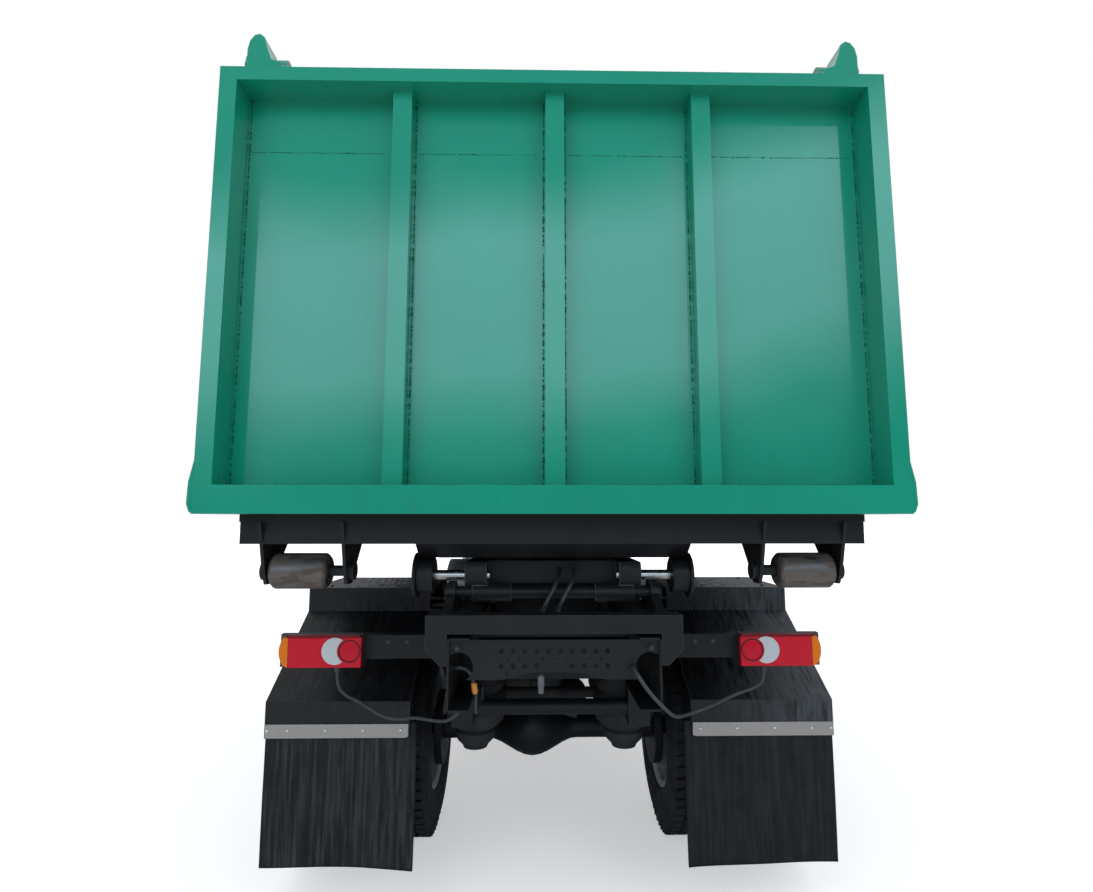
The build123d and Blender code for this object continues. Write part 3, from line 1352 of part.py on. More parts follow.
# Cables: straight runs joined by arcs, each from gland to gland
lamp_back = lamp_y + lamp_depth / 2
gland_low_z = lamp_low_z - gland_len
cable_left = [
    (-gland_x, lamp_back, gland_low_z),
    (-gland_x, lamp_back, 950),
    (-862, tail_y + 571, 893),
    (-790, tail_y + 569, 856),
    (-705, tail_y + 566, 833),
    (-610, tail_y + 560, 824),
    (-520, tail_y + 553, 820),
    (-445, tail_y + 542, 823),
    (-392, tail_y + 530, 850),
    (gland_left[0], gland_left[1], 895),
    (gland_left[0], gland_left[1], rail_bottom_z - gland_len),
]
cable_right = [
    (gland_x, lamp_back, gland_low_z),
    (gland_x, lamp_back, 966),
    (862, tail_y + 568, 938),
    (790, tail_y + 550, 922),
    (716, tail_y + 520, 903),
    (646, tail_y + 475, 890),
    (575, tail_y + 412, 889),
    (508, tail_y + 330, 898),
    (446, tail_y + 225, 922),
    (388, tail_y + 128, 982),
    (322, tail_y + 84, 1055),
    (gland_right[0], tail_y + 76, gland_right[1]),
    (gland_right[0], end_plate_y - gland_len, gland_right[1]),
]
inner_top_z = 1098
gland_top_z = tube_cross_z + tube_cross_r + gland_len
cable_inner = [
    (-web_in_x + gland_len, tail_y + 250, inner_top_z),
    (-326, tail_y + 250, inner_top_z),
    (-300, tail_y + 256, 1052),
    (-292, tail_y + 268, 985),
    (-296, tail_y + 300, 925),
    (-302, tail_y + 400, 892),
    (-306, tail_y + 540, 890),
    (-310, tail_y + 680, 912),
    (gland_inner[0], gland_inner[1], 908),
    (gland_inner[0], gland_inner[1], gland_top_z),
]


def cord_radii(points):
    """The arc radius for each inner point of a cord's route."""
    radii = []
    for before, here, after in zip(points, points[1:], points[2:]):
        first = Vector(*here) - Vector(*before)
        second = Vector(*after) - Vector(*here)
        half_turn = radians(first.get_angle(second) / 2)
        radii.append(0.45 * min(first.length, second.length) / (sin(half_turn) / cos(half_turn)))
    return radii


routes = {"lamp_cable_left": cable_left, "lamp_cable_right": cable_right, "inner_cable": cable_inner}
for name, route in routes.items():
    with BuildPart() as cord:
        with BuildLine() as path:
            FilletPolyline(*route, radius=cord_radii(route))
        with BuildSketch(Plane(origin=route[0], z_dir=path.line % 0)):
            Circle(cable_r)
        sweep()
    keep(cord, name)
with frame_rails:
    rod_x((-web_in_x - 1, -web_in_x + gland_len), tail_y + 250, inner_top_z, gland_r)

finished = {
    "frame_rails": frame_rails,
    "crossmembers": crossmembers,
    "subframe": subframe,
    "pivot_shaft": pivot_shaft,
    "guide_rollers": guide_rollers,
    "guide_pins": guide_pins,
    "rear_axle": rear_axle,
    "rear_suspension": rear_suspension,
    "front_axle": front_axle,
    "engine": engine,
    "fuel_tank": fuel_tank,
    "side_boxes": side_boxes,
    "side_guards": side_guards,
    "rear_mudguards": rear_mudguards,
    "front_mudguards": front_mudguards,
    "mud_flaps": mud_flaps,
    "flap_strips": flap_strips,
    "light_bar": light_bar,
    "tail_lamps": tail_lamps,
    "front_bumper": front_bumper,
    "headlamps": headlamps,
    "tilt_frame": tilt_frame,
    "jib": jib,
    "cylinder_barrels": cylinder_barrels,
    "cylinder_rods": cylinder_rods,
    "container_shell": container_shell,
    "container_base": container_base,
    "tailgate": tailgate,
    "cab_shell": cab_shell,
    "cab_glass": cab_glass,
    "seats": seats,
    "dashboard": dashboard,
    "mirrors": mirrors,
}
for name, piece in finished.items():
    keep(piece, name)
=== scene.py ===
"""Dresses the hook lift truck: finishes, fine detail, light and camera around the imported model.

Metres, in the part's own frame: the truck faces +Y, +X is its right side, +Z is up and the ground is z = 0.
"""

from __future__ import annotations

import json
import logging
import math
import random
from dataclasses import dataclass
from enum import Enum

import bmesh
import bpy
from mathutils import Matrix, Vector

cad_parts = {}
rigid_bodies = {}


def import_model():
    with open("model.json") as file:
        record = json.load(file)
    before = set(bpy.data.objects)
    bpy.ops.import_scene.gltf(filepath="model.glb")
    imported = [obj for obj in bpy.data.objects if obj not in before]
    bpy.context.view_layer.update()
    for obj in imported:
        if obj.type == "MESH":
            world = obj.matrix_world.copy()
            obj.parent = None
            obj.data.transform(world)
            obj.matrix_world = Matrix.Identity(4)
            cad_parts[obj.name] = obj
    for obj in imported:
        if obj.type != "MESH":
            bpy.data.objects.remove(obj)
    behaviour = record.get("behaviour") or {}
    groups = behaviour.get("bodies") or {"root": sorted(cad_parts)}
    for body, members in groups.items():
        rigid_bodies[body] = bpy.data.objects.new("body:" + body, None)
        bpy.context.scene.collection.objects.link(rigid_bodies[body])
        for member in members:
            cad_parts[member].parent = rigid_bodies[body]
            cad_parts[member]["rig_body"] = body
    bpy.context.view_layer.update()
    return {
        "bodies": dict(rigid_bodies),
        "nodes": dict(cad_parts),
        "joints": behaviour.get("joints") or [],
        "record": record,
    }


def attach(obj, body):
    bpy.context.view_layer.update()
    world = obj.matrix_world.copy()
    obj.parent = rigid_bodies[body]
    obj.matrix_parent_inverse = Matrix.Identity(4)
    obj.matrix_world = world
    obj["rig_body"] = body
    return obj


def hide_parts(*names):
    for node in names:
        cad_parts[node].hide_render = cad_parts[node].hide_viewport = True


LOG = logging.getLogger("truck")
Point = tuple[float, float, float]
Colour = tuple[float, float, float]
Profile = list[tuple[float, float]]
Socket = bpy.types.NodeSocket

TAIL_Y = -3.65
NOSE_Y = 3.65
REAR_AXLE_Y = TAIL_Y + 1.425
FRONT_AXLE_Y = REAR_AXLE_Y + 4.5
WHEEL_Z = 0.52
RAIL_X = 0.39
CAB_HALF = 1.15
CAB_FRONT_Y = NOSE_Y - 0.065
MERGE_DIST = 1e-5
THIN_EDGE = 1e-6
SHARP_DEG = 38
WHITE = (1, 1, 1, 1)


class Side(Enum):
    """The two sides of the truck, with the sign of X on each."""

    LEFT = -1
    RIGHT = 1

    def x(self, reach: float) -> float:
        """A place across the truck on this side."""
        return self.value * reach

    @property
    def word(self) -> str:
        """The side's name as the part's nodes spell it."""
        return self.name.lower()


def feed(tree: bpy.types.NodeTree, socket: Socket, value: object) -> None:
    """Give a socket a value, or join an output to it.

    Args:
        tree: The tree that the socket is in.
        socket: The socket.
        value: The value or the output.
    """
    if isinstance(value, bpy.types.NodeSocket):
        tree.links.new(value, socket)
    else:
        socket.default_value = value


def wired(
    tree: bpy.types.NodeTree, kind: str, inputs: dict | None = None, **settings: object
) -> bpy.types.Node:
    """Add a node to a tree.

    Args:
        tree: The tree.
        kind: The node's type.
        inputs: A value or an output socket for each input, by name or number.
        **settings: Properties of the node itself.

    Returns:
        The new node.
    """
    node = tree.nodes.new(kind)
    for key, value in settings.items():
        setattr(node, key, value)
    for key, value in (inputs or {}).items():
        feed(tree, node.inputs[key], value)
    return node


def mixed(tree: bpy.types.NodeTree, share: object, a: object, b: object) -> Socket:
    """Mix two colours, each a value or an output, by a share."""
    return wired(tree, "ShaderNodeMix", {"Factor": share, 6: a, 7: b}, data_type="RGBA").outputs[2]


class Graph:
    """A material's node tree with short ways to add nodes and join them."""

    def __init__(self, name: str) -> None:
        """Start a material with its shader.

        Args:
            name: The material's name.
        """
        self.material = bpy.data.materials.new(name)
        self.material.use_nodes = True
        self.tree = self.material.node_tree
        self.shader = self.tree.nodes["Principled BSDF"]
        self.place = self.tree.nodes.new("ShaderNodeTexCoord").outputs["Object"]

    def add(self, kind: str, inputs: dict | None = None, **settings: object) -> bpy.types.Node:
        """Add a node, its kind given without the leading ShaderNode."""
        return wired(self.tree, "ShaderNode" + kind, inputs, **settings)

    def stretched(self, scale: Point) -> Socket:
        """The object's own coordinates, scaled along each axis."""
        node = self.add("Mapping", {"Vector": self.place, "Scale": scale})
        return node.outputs["Vector"]

    def noise(self, scale: float, detail: float = 4.0, stretch: Point = (1, 1, 1)) -> Socket:
        """A soft random pattern.

        Args:
            scale: How many features a metre holds.
            detail: How many finer layers are added.
            stretch: The pattern's scale along each axis.

        Returns:
            The pattern's value, from 0 to 1.
        """
        inputs = {"Vector": self.stretched(stretch), "Scale": scale, "Detail": detail, "Roughness": 0.6}
        return self.add("TexNoise", inputs).outputs["Fac"]

    def remap(self, value: Socket, low: float, high: float, to: tuple = (0.0, 1.0)) -> Socket:
        """Stretch the part of a value between low and high over a new range."""
        inputs = {"Value": value, "From Min": low, "From Max": high, "To Min": to[0], "To Max": to[1]}
        return self.add("MapRange", inputs).outputs["Result"]

    def maths(self, operation: str, a: object, b: object = 0.0) -> Socket:
        """Work out one value from two."""
        return self.add("Math", {0: a, 1: b}, operation=operation).outputs[0]

    def mix(self, share: object, a: object, b: object) -> Socket:
        """Mix two colours by a share."""
        return mixed(self.tree, share, a, b)

    def along(self, axis: str) -> Socket:
        """The object's own coordinate along X, Y or Z."""
        return self.add("SeparateXYZ", {"Vector": self.place}).outputs[axis]

    def bump(self, relief: Socket, depth: float, strength: float = 1.0) -> None:
        """Give the shader a relief.

        Args:
            relief: The height pattern.
            depth: The height of its full range in metres.
            strength: How strongly it shows.
        """
        node = self.add("Bump", {"Height": relief, "Distance": depth, "Strength": strength})
        feed(self.tree, self.shader.inputs["Normal"], node.outputs["Normal"])

    def finish(self, **inputs: object) -> bpy.types.Material:
        """Set the shader's sockets by name, with underscores for spaces, and return the material."""
        for key, value in inputs.items():
            feed(self.tree, self.shader.inputs[key.replace("_", " ")], value)
        return self.material


def rgba(colour: Colour, gain: float = 1.0) -> tuple[float, float, float, float]:
    """A colour with full alpha, brightened or darkened by a gain."""
    return (colour[0] * gain, colour[1] * gain, colour[2] * gain, 1.0)


@dataclass(frozen=True)
class Enamel:
    """Sprayed gloss enamel: clear top coat, faint peel, dust and grime that gathers low down."""

    name: str
    colour: Colour
    roughness: float = 0.3
    coat: float = 1.0
    coat_roughness: float = 0.06
    grime_height: float = 0.35
    grime_base: float = 1.66
    grime_share: float = 0.12
    grime: Colour = (0.05, 0.055, 0.05)

    def make(self) -> bpy.types.Material:
        """Build the material."""
        g = Graph(self.name)
        cloud = g.noise(1.1, 3)
        tint = g.mix(g.remap(cloud, 0.35, 0.7), rgba(self.colour, 0.95), rgba(self.colour, 1.06))
        streak = g.noise(6.0, 5, (3.0, 3.0, 0.35))
        low = g.remap(g.along("Z"), self.grime_base, self.grime_base + self.grime_height, (1.0, 0.0))
        share = g.maths("MULTIPLY", low, g.remap(streak, 0.5, 0.78, (0.0, self.grime_share)))
        dust = g.remap(g.noise(40.0, 6), 0.6, 0.8, (0.0, 0.06))
        colour = g.mix(g.maths("ADD", share, dust), tint, rgba(self.grime))
        rough = g.remap(g.noise(9.0, 5), 0.3, 0.75, (self.roughness * 0.8, self.roughness * 1.35))
        g.bump(g.noise(260.0, 2), 0.00012, 0.35)
        return g.finish(
            Base_Color=colour,
            Roughness=rough,
            Specular_IOR_Level=0.12,
            Coat_Weight=self.coat,
            Coat_Roughness=self.coat_roughness,
            Coat_IOR=1.6,
        )


@dataclass(frozen=True)
class ChassisPaint:
    """Semi-gloss black paint on rolled steel, with road dust on it and grey rubbed spots; its lighter copies
    on rounded edges carry a painted highlight.
    """

    name: str = "chassis_paint"
    colour: Colour = (0.0075, 0.008, 0.009)
    dust: Colour = (0.028, 0.028, 0.028)

    def make(self) -> bpy.types.Material:
        """Build the material."""
        g = Graph(self.name)
        patches = g.remap(g.noise(7.0, 8), 0.45, 0.8, (0.0, 0.55))
        fine = g.remap(g.noise(120.0, 4), 0.45, 0.75, (0.2, 1.0))
        colour = g.mix(g.maths("MULTIPLY", patches, fine), rgba(self.colour), rgba(self.dust))
        rough = g.remap(g.noise(14.0, 6), 0.3, 0.8, (0.34, 0.62))
        g.bump(g.noise(330.0, 3), 0.0003, 0.35)
        return g.finish(Base_Color=colour, Roughness=rough, Specular_IOR_Level=0.28)


@dataclass(frozen=True)
class WetPlastic:
    """Black moulded plastic, wet: gloss that breaks up in runs, drops and long scratches, with a painted
    grey-blue reflection towards +X.
    """

    name: str = "wet_plastic"
    colour: Colour = (0.006, 0.0065, 0.007)

    def make(self) -> bpy.types.Material:
        """Build the material."""
        g = Graph(self.name)
        runs = g.noise(10.0, 6, (6.0, 1.0, 1.0))
        drops = g.add("TexVoronoi", {"Vector": g.place, "Scale": 85.0}).outputs["Distance"]
        scratch = g.remap(g.noise(24.0, 8, (8.0, 0.8, 0.8)), 0.66, 0.72)
        # Painted reflection: towards +X the colour is lightened to grey-blue along the runs; the scratches
        # are real marks.
        painted_reflection = g.maths("MULTIPLY", g.remap(g.along("X"), 0.7, 1.25, (0.0, 0.8)), g.remap(runs, 0.35, 0.6))
        share = g.maths("MAXIMUM", g.maths("MULTIPLY", scratch, 0.25), painted_reflection)
        colour = g.mix(share, rgba(self.colour), (0.075, 0.082, 0.095, 1))
        rough = g.remap(runs, 0.35, 0.7, (0.22, 0.5))
        relief = g.maths("ADD", g.maths("MULTIPLY", g.remap(drops, 0.0, 0.25, (1, 0)), 0.4), runs)
        g.bump(relief, 0.0005, 0.2)
        return g.finish(Base_Color=colour, Roughness=rough, Specular_IOR_Level=0.32)


@dataclass(frozen=True)
class Rubber:
    """Matt rubber with dust in vertical rain marks."""

    name: str
    colour: Colour = (0.012, 0.012, 0.0135)
    dust: Colour = (0.040, 0.040, 0.042)
    marks: Point = (9.0, 9.0, 0.5)
    amount: float = 0.8
    lean: float = 0.0
    roughness: tuple[float, float] = (0.5, 0.8)

    def make(self) -> bpy.types.Material:
        """Build the material."""
        g = Graph(self.name)
        rain = g.remap(g.noise(7.0, 7, self.marks), 0.42, 0.85, (0.0, self.amount))
        if self.lean:
            leaning = g.remap(g.along("X"), -0.6, 0.6, (1.0 + self.lean, 1.0 - self.lean))
            rain = g.maths("MULTIPLY", rain, leaning)
        colour = g.mix(rain, rgba(self.colour), rgba(self.dust))
        grain = g.noise(420.0, 3)
        g.bump(grain, 0.0005, 0.5)
        rough = g.remap(g.noise(12.0, 4), 0.3, 0.7, self.roughness)
        return g.finish(Base_Color=colour, Roughness=rough, Specular_IOR_Level=0.22)


@dataclass(frozen=True)
class RolledMetal:
    """Bare metal with a brushed direction, dull patches and an optional rust cover."""

    name: str
    colour: Colour
    roughness: tuple[float, float] = (0.22, 0.42)
    brush: Point = (1.0, 12.0, 12.0)
    rust: float = 0.0

    def make(self) -> bpy.types.Material:
        """Build the material."""
        g = Graph(self.name)
        lines = g.noise(60.0, 5, self.brush)
        tint = g.mix(lines, rgba(self.colour, 0.75), rgba(self.colour, 1.15))
        rough = g.remap(g.noise(18.0, 6), 0.3, 0.75, self.roughness)
        g.bump(lines, 0.0002, 0.3)
        if not self.rust:
            return g.finish(Base_Color=tint, Roughness=rough, Metallic=1.0)
        patch = g.remap(g.noise(16.0, 9, (0.7, 2.2, 2.2)), 0.62 - 0.22 * self.rust, 0.78 - 0.2 * self.rust)
        brown = g.mix(g.noise(90.0, 6), (0.04, 0.026, 0.02, 1), (0.13, 0.09, 0.07, 1))
        rough = g.maths("MAXIMUM", rough, g.maths("MULTIPLY", patch, 0.75))
        metal = g.maths("SUBTRACT", 1.0, g.maths("MULTIPLY", patch, 0.85))
        return g.finish(Base_Color=g.mix(patch, tint, brown), Roughness=rough, Metallic=metal)


@dataclass(frozen=True)
class LampLens:
    """Moulded lens plastic with fine prisms behind a clear surface."""

    name: str
    colour: Colour
    prism: float = 130.0
    glow: float = 0.05

    def make(self) -> bpy.types.Material:
        """Build the material."""
        g = Graph(self.name)
        waves = {"Vector": g.place, "Scale": self.prism, "Distortion": 0.4}
        rows = g.add("TexWave", waves, bands_direction="X")
        tint = g.mix(rows.outputs["Fac"], rgba(self.colour, 0.72), rgba(self.colour, 1.15))
        scuff = g.remap(g.noise(45.0, 7, (1, 1, 0.4)), 0.6, 0.8, (0.0, 0.22))
        g.bump(rows.outputs["Fac"], 0.0004, 0.2)
        return g.finish(
            Base_Color=g.mix(scuff, tint, rgba(self.colour, 0.5)),
            Roughness=0.22,
            Specular_IOR_Level=0.1,
            Coat_Weight=0.25,
            Coat_Roughness=0.05,
            Emission_Color=rgba(self.colour),
            Emission_Strength=self.glow,
        )


@dataclass(frozen=True)
class ClearGlass:
    """Lightly tinted vehicle glass with a little dust."""

    name: str = "vehicle_glass"

    def make(self) -> bpy.types.Material:
        """Build the material."""
        g = Graph(self.name)
        rough = g.remap(g.noise(8.0, 6), 0.4, 0.8, (0.02, 0.12))
        return g.finish(
            Base_Color=(0.62, 0.72, 0.69, 1),
            Roughness=rough,
            Transmission_Weight=0.92,
            IOR=1.45,
            Alpha=0.55,
        )


@dataclass(frozen=True)
class Moulded:
    """Grained moulded plastic."""

    name: str
    colour: Colour = (0.03, 0.031, 0.033)
    roughness: tuple[float, float] = (0.42, 0.6)
    grain: float = 700.0

    def make(self) -> bpy.types.Material:
        """Build the material."""
        g = Graph(self.name)
        dust = g.remap(g.noise(9.0, 6), 0.5, 0.8, (0.0, 0.3))
        g.bump(g.noise(self.grain, 3), 0.0003, 0.4)
        rough = g.remap(g.noise(20.0, 4), 0.3, 0.7, self.roughness)
        return g.finish(Base_Color=g.mix(dust, rgba(self.colour), (0.1, 0.1, 0.1, 1)), Roughness=rough)


@dataclass(frozen=True)
class SeatCloth:
    """Woven seat cloth with a sheen."""

    name: str = "seat_cloth"
    colour: Colour = (0.07, 0.075, 0.09)

    def make(self) -> bpy.types.Material:
        """Build the material."""
        g = Graph(self.name)
        threads = {"Vector": g.place, "Scale": 190.0}
        weft, warp = (g.add("TexWave", threads, bands_direction=way).outputs["Fac"] for way in "XZ")
        weave = g.maths("MULTIPLY", weft, warp)
        colour = g.mix(weave, rgba(self.colour, 0.7), rgba(self.colour, 1.5))
        g.bump(weave, 0.0006, 0.6)
        return g.finish(Base_Color=colour, Roughness=0.85, Sheen_Weight=0.35)


class Fastener(Enum):
    """The small shapes that a pattern sets on its points."""

    BOLT = "bolt"
    RIVET = "rivet"
    BEAD = "bead"
    BLOCK = "block"
    PEG = "peg"


@dataclass(frozen=True)
class Spot:
    """One place of a pattern: where it is, how it is turned and how large it is."""

    place: Point
    turn: Point
    span: Point


def turned_to(normal: Point, along: Point | None = None) -> Point:
    """The turn that takes a shape's Z to a surface's normal.

    Args:
        normal: The direction that Z is turned to.
        along: The direction that X is turned to, as far as it lies in the surface.

    Returns:
        The turn as Euler angles.
    """
    z = Vector(normal).normalized()
    x = Vector(along) if along else z.orthogonal()
    x = (x - z * x.dot(z)).normalized()
    return tuple(Matrix((x, z.cross(x), z)).transposed().to_euler())


class PatternTree:
    """A Geometry Nodes tree that sets one unit shape on every point of a mesh."""

    def __init__(self, kind: Fastener) -> None:
        """Build the tree.

        Args:
            kind: The shape that it sets.
        """
        self.tree = bpy.data.node_groups.new(f"{kind.value}_pattern", "GeometryNodeTree")
        self.ids: dict[str, str] = {}
        kinds = {"Geometry": "Geometry", "Scale": "Float", "Wobble": "Float"}
        kinds |= {"Seed": "Int", "Finish": "Material"}
        for name, sort in kinds.items():
            socket = self.tree.interface.new_socket(name, in_out="INPUT", socket_type=f"NodeSocket{sort}")
            self.ids[name] = socket.identifier
        self.tree.interface.new_socket("Geometry", in_out="OUTPUT", socket_type="NodeSocketGeometry")
        source = self.add("NodeGroupInput").outputs
        spread = {0: 1.0, 1: source["Wobble"]}
        low = self.add("ShaderNodeMath", spread, operation="SUBTRACT").outputs[0]
        high = self.add("ShaderNodeMath", spread, operation="ADD").outputs[0]
        chance = {2: low, 3: high, 8: source["Seed"]}
        size = self.add("FunctionNodeRandomValue", chance, data_type="FLOAT").outputs[1]
        size = self.add("ShaderNodeMath", {0: size, 1: source["Scale"]}, operation="MULTIPLY").outputs[0]
        turn, span = (self.stored(name) for name in ("turn", "span"))
        turn = self.add("FunctionNodeEulerToRotation", {"Euler": turn}).outputs[0]
        span = self.add("ShaderNodeVectorMath", {0: span, "Scale": size}, operation="SCALE").outputs[0]
        inputs = {"Points": source["Geometry"], "Instance": self.shape(kind), "Rotation": turn, "Scale": span}
        copies = self.add("GeometryNodeInstanceOnPoints", inputs).outputs[0]
        real = self.add("GeometryNodeRealizeInstances", {"Geometry": copies}).outputs[0]
        inputs = {"Geometry": real, "Material": source["Finish"]}
        finished = self.add("GeometryNodeSetMaterial", inputs).outputs[0]
        self.add("NodeGroupOutput", {"Geometry": finished})

    def add(self, kind: str, inputs: dict | None = None, **settings: object) -> bpy.types.Node:
        """Add a node to the pattern."""
        return wired(self.tree, kind, inputs, **settings)

    def stored(self, name: str) -> Socket:
        """A direction or size that each point carries."""
        kind = "GeometryNodeInputNamedAttribute"
        return self.add(kind, {"Name": name}, data_type="FLOAT_VECTOR").outputs[0]

    def cylinder(self, sides: int, radius: float, depth: float, base: float) -> Socket:
        """A cylinder that stands on a height.

        Args:
            sides: The number of faces around it.
            radius: Its radius.
            depth: Its height.
            base: The height of its foot.

        Returns:
            Its mesh.
        """
        sizes = {"Vertices": sides, "Radius": radius, "Depth": depth}
        mesh = self.add("GeometryNodeMeshCylinder", sizes).outputs["Mesh"]
        lift = {"Geometry": mesh, "Translation": (0, 0, base + depth / 2)}
        return self.add("GeometryNodeTransform", lift).outputs[0]

    def shape(self, kind: Fastener) -> Socket:
        """The unit shape of a kind.

        Args:
            kind: The kind.

        Returns:
            Its mesh, about one unit in radius or width.
        """
        if kind is Fastener.BLOCK:
            return self.add("GeometryNodeMeshCube", {"Size": (1, 1, 1)}).outputs["Mesh"]
        if kind in (Fastener.RIVET, Fastener.BEAD):
            sizes = {"Segments": 10 if kind is Fastener.RIVET else 8, "Rings": 6, "Radius": 1.0}
            return self.add("GeometryNodeMeshUVSphere", sizes).outputs["Mesh"]
        join = self.add("GeometryNodeJoinGeometry")
        if kind is Fastener.BOLT:
            sizes = ((6, 1.0, 0.75, 0.2), (18, 1.45, 0.22, -0.02), (12, 0.55, 0.3, 0.9))
        else:
            sizes = ((14, 1.0, 1.0, 0.0), (14, 1.7, 0.18, 0.95))
        for part in [self.cylinder(*size) for size in sizes]:
            self.tree.links.new(part, join.inputs[0])
        return join.outputs[0]


class Builder:
    """Adds simple closed forms to one bmesh."""

    def __init__(self) -> None:
        """Start with an empty mesh."""
        self.bm = bmesh.new()

    def skin(
        self, rings: list[list[Point]], around: bool, along: bool, slot: int = 0, smooth: bool = True
    ) -> None:
        """Join rows of points by faces.

        Args:
            rings: Rows with the same number of points.
            around: Whether each row closes on itself.
            along: Whether the last row joins the first, instead of both being capped.
            slot: The material index of the faces.
            smooth: Whether the sides are shaded smooth.
        """
        rows = [[self.bm.verts.new(p) for p in ring] for ring in rings]
        count = len(rows[0])
        made = []
        last = len(rows) if along else len(rows) - 1
        for i in range(last):
            here, there = rows[i], rows[(i + 1) % len(rows)]
            for k in range(count if around else count - 1):
                n = (k + 1) % count
                made.append(self.bm.faces.new((here[k], here[n], there[n], there[k])))
        for face in made:
            face.smooth = smooth
            face.material_index = slot
        if around and not along:
            for row in (rows[0], rows[-1]):
                cap = self.bm.faces.new(row)
                cap.material_index = slot

    def lathe(
        self, centre: Point, profile: Profile, steps: int = 64, slot: int = 0, axis: Point = (1, 0, 0)
    ) -> None:
        """Turn a closed profile about an axis.

        Args:
            centre: A point on the axis.
            profile: The outline, as (distance along the axis, radius).
            steps: The number of faces around it.
            slot: The material index of the faces.
            axis: The direction of the axis.
        """
        way = Vector(axis).normalized()
        side = way.orthogonal().normalized()
        up = way.cross(side)
        rings = []
        for step in range(steps):
            a = math.tau * step / steps
            out = side * math.cos(a) + up * math.sin(a)
            rings.append([tuple(Vector(centre) + way * x + out * r) for x, r in profile])
        self.skin(rings, around=True, along=True, slot=slot)

    def prism(self, outline: list[Point], push: Point, slot: int = 0) -> None:
        """A solid between a flat outline and the same outline pushed along a direction."""
        far = [tuple(Vector(p) + Vector(push)) for p in outline]
        self.skin([outline, far], around=True, along=False, slot=slot, smooth=False)

    def box(self, low: Point, high: Point, slot: int = 0) -> None:
        """A box between two corners."""
        (x0, y0, z0), (x1, y1, z1) = low, high
        self.prism([(x0, y0, z0), (x1, y0, z0), (x1, y1, z0), (x0, y1, z0)], (0, 0, z1 - z0), slot)

    def tube(
        self, path: list[Point], radius: float, sides: int = 14, closed: bool = False, slot: int = 0
    ) -> None:
        """A round bar along a path.

        Args:
            path: The points of its middle line.
            radius: The bar's radius.
            sides: The number of faces around it.
            closed: Whether its ends join.
            slot: The material index of the faces.
        """
        points = [Vector(p) for p in path]
        count = len(points)
        side = None
        rings = []
        for i, here in enumerate(points):
            before = points[i - 1] if i or closed else here
            after = points[(i + 1) % count] if i < count - 1 or closed else here
            way = (after - before).normalized()
            side = way.orthogonal() if side is None else side - way * side.dot(way)
            side.normalize()
            up = way.cross(side)
            ring = []
            for k in range(sides):
                a = math.tau * k / sides
                ring.append(tuple(here + radius * (math.cos(a) * side + math.sin(a) * up)))
            rings.append(ring)
        self.skin(rings, around=True, along=closed, slot=slot)

    def done(self) -> bmesh.types.BMesh:
        """The mesh with its doubles merged and its faces outward."""
        bmesh.ops.remove_doubles(self.bm, verts=self.bm.verts, dist=MERGE_DIST)
        bmesh.ops.dissolve_degenerate(self.bm, edges=self.bm.edges, dist=THIN_EDGE)
        bmesh.ops.recalc_face_normals(self.bm, faces=self.bm.faces)
        return self.bm


def arc(centre: tuple[float, float], radius: float, start: float, end: float, steps: int) -> Profile:
    """Points on a circle's arc.

    Args:
        centre: The circle's middle.
        radius: Its radius.
        start: The first angle in degrees.
        end: The last angle in degrees.
        steps: The number of pieces that the arc is cut into.

    Returns:
        The points.
    """
    points = []
    for step in range(steps + 1):
        a = math.radians(start + (end - start) * step / steps)
        points.append((centre[0] + radius * math.cos(a), centre[1] + radius * math.sin(a)))
    return points


def flowing(path: list[Point], steps: int = 8) -> list[Point]:
    """A smooth line through the points of a path.

    Args:
        path: The points.
        steps: The number of pieces between two of them.

    Returns:
        The line's points.
    """
    points = [Vector(p) for p in path]
    points = [points[0] * 2 - points[1], *points, points[-1] * 2 - points[-2]]
    line = []
    for p0, p1, p2, p3 in zip(points, points[1:], points[2:], points[3:]):
        for step in range(steps):
            s = step / steps
            bend = (2 * p0 - 5 * p1 + 4 * p2 - p3) * s**2 + (3 * p1 - p0 - 3 * p2 + p3) * s**3
            line.append(tuple(p1 + ((p2 - p0) * s + bend) / 2))
    return [*line, tuple(points[-2])]


def drum(low: float, high: float, radius: float, hole: float = 0.002) -> Profile:
    """The closed outline of a plain disc, with a hole too small to see, for the lathe."""
    return [(low, hole), (low, radius), (high, radius), (high, hole)]


def from_tail(points: tuple[Point, ...]) -> list[Point]:
    """Points whose Y is given from the tailgate's outer face."""
    return [(x, TAIL_Y + y, z) for x, y, z in points]


def fixings(side: Side, places: list[Point], turn: Point, size: float, height: float) -> list[Spot]:
    """Round fasteners of one size on one side, their X given from the centre line.

    Args:
        side: The side of the truck.
        places: Where they are.
        turn: How they are turned.
        size: Their radius.
        height: Their height.

    Returns:
        The spots.
    """
    return [Spot((side.x(x), y, z), turn, (size, size, height)) for x, y, z in places]


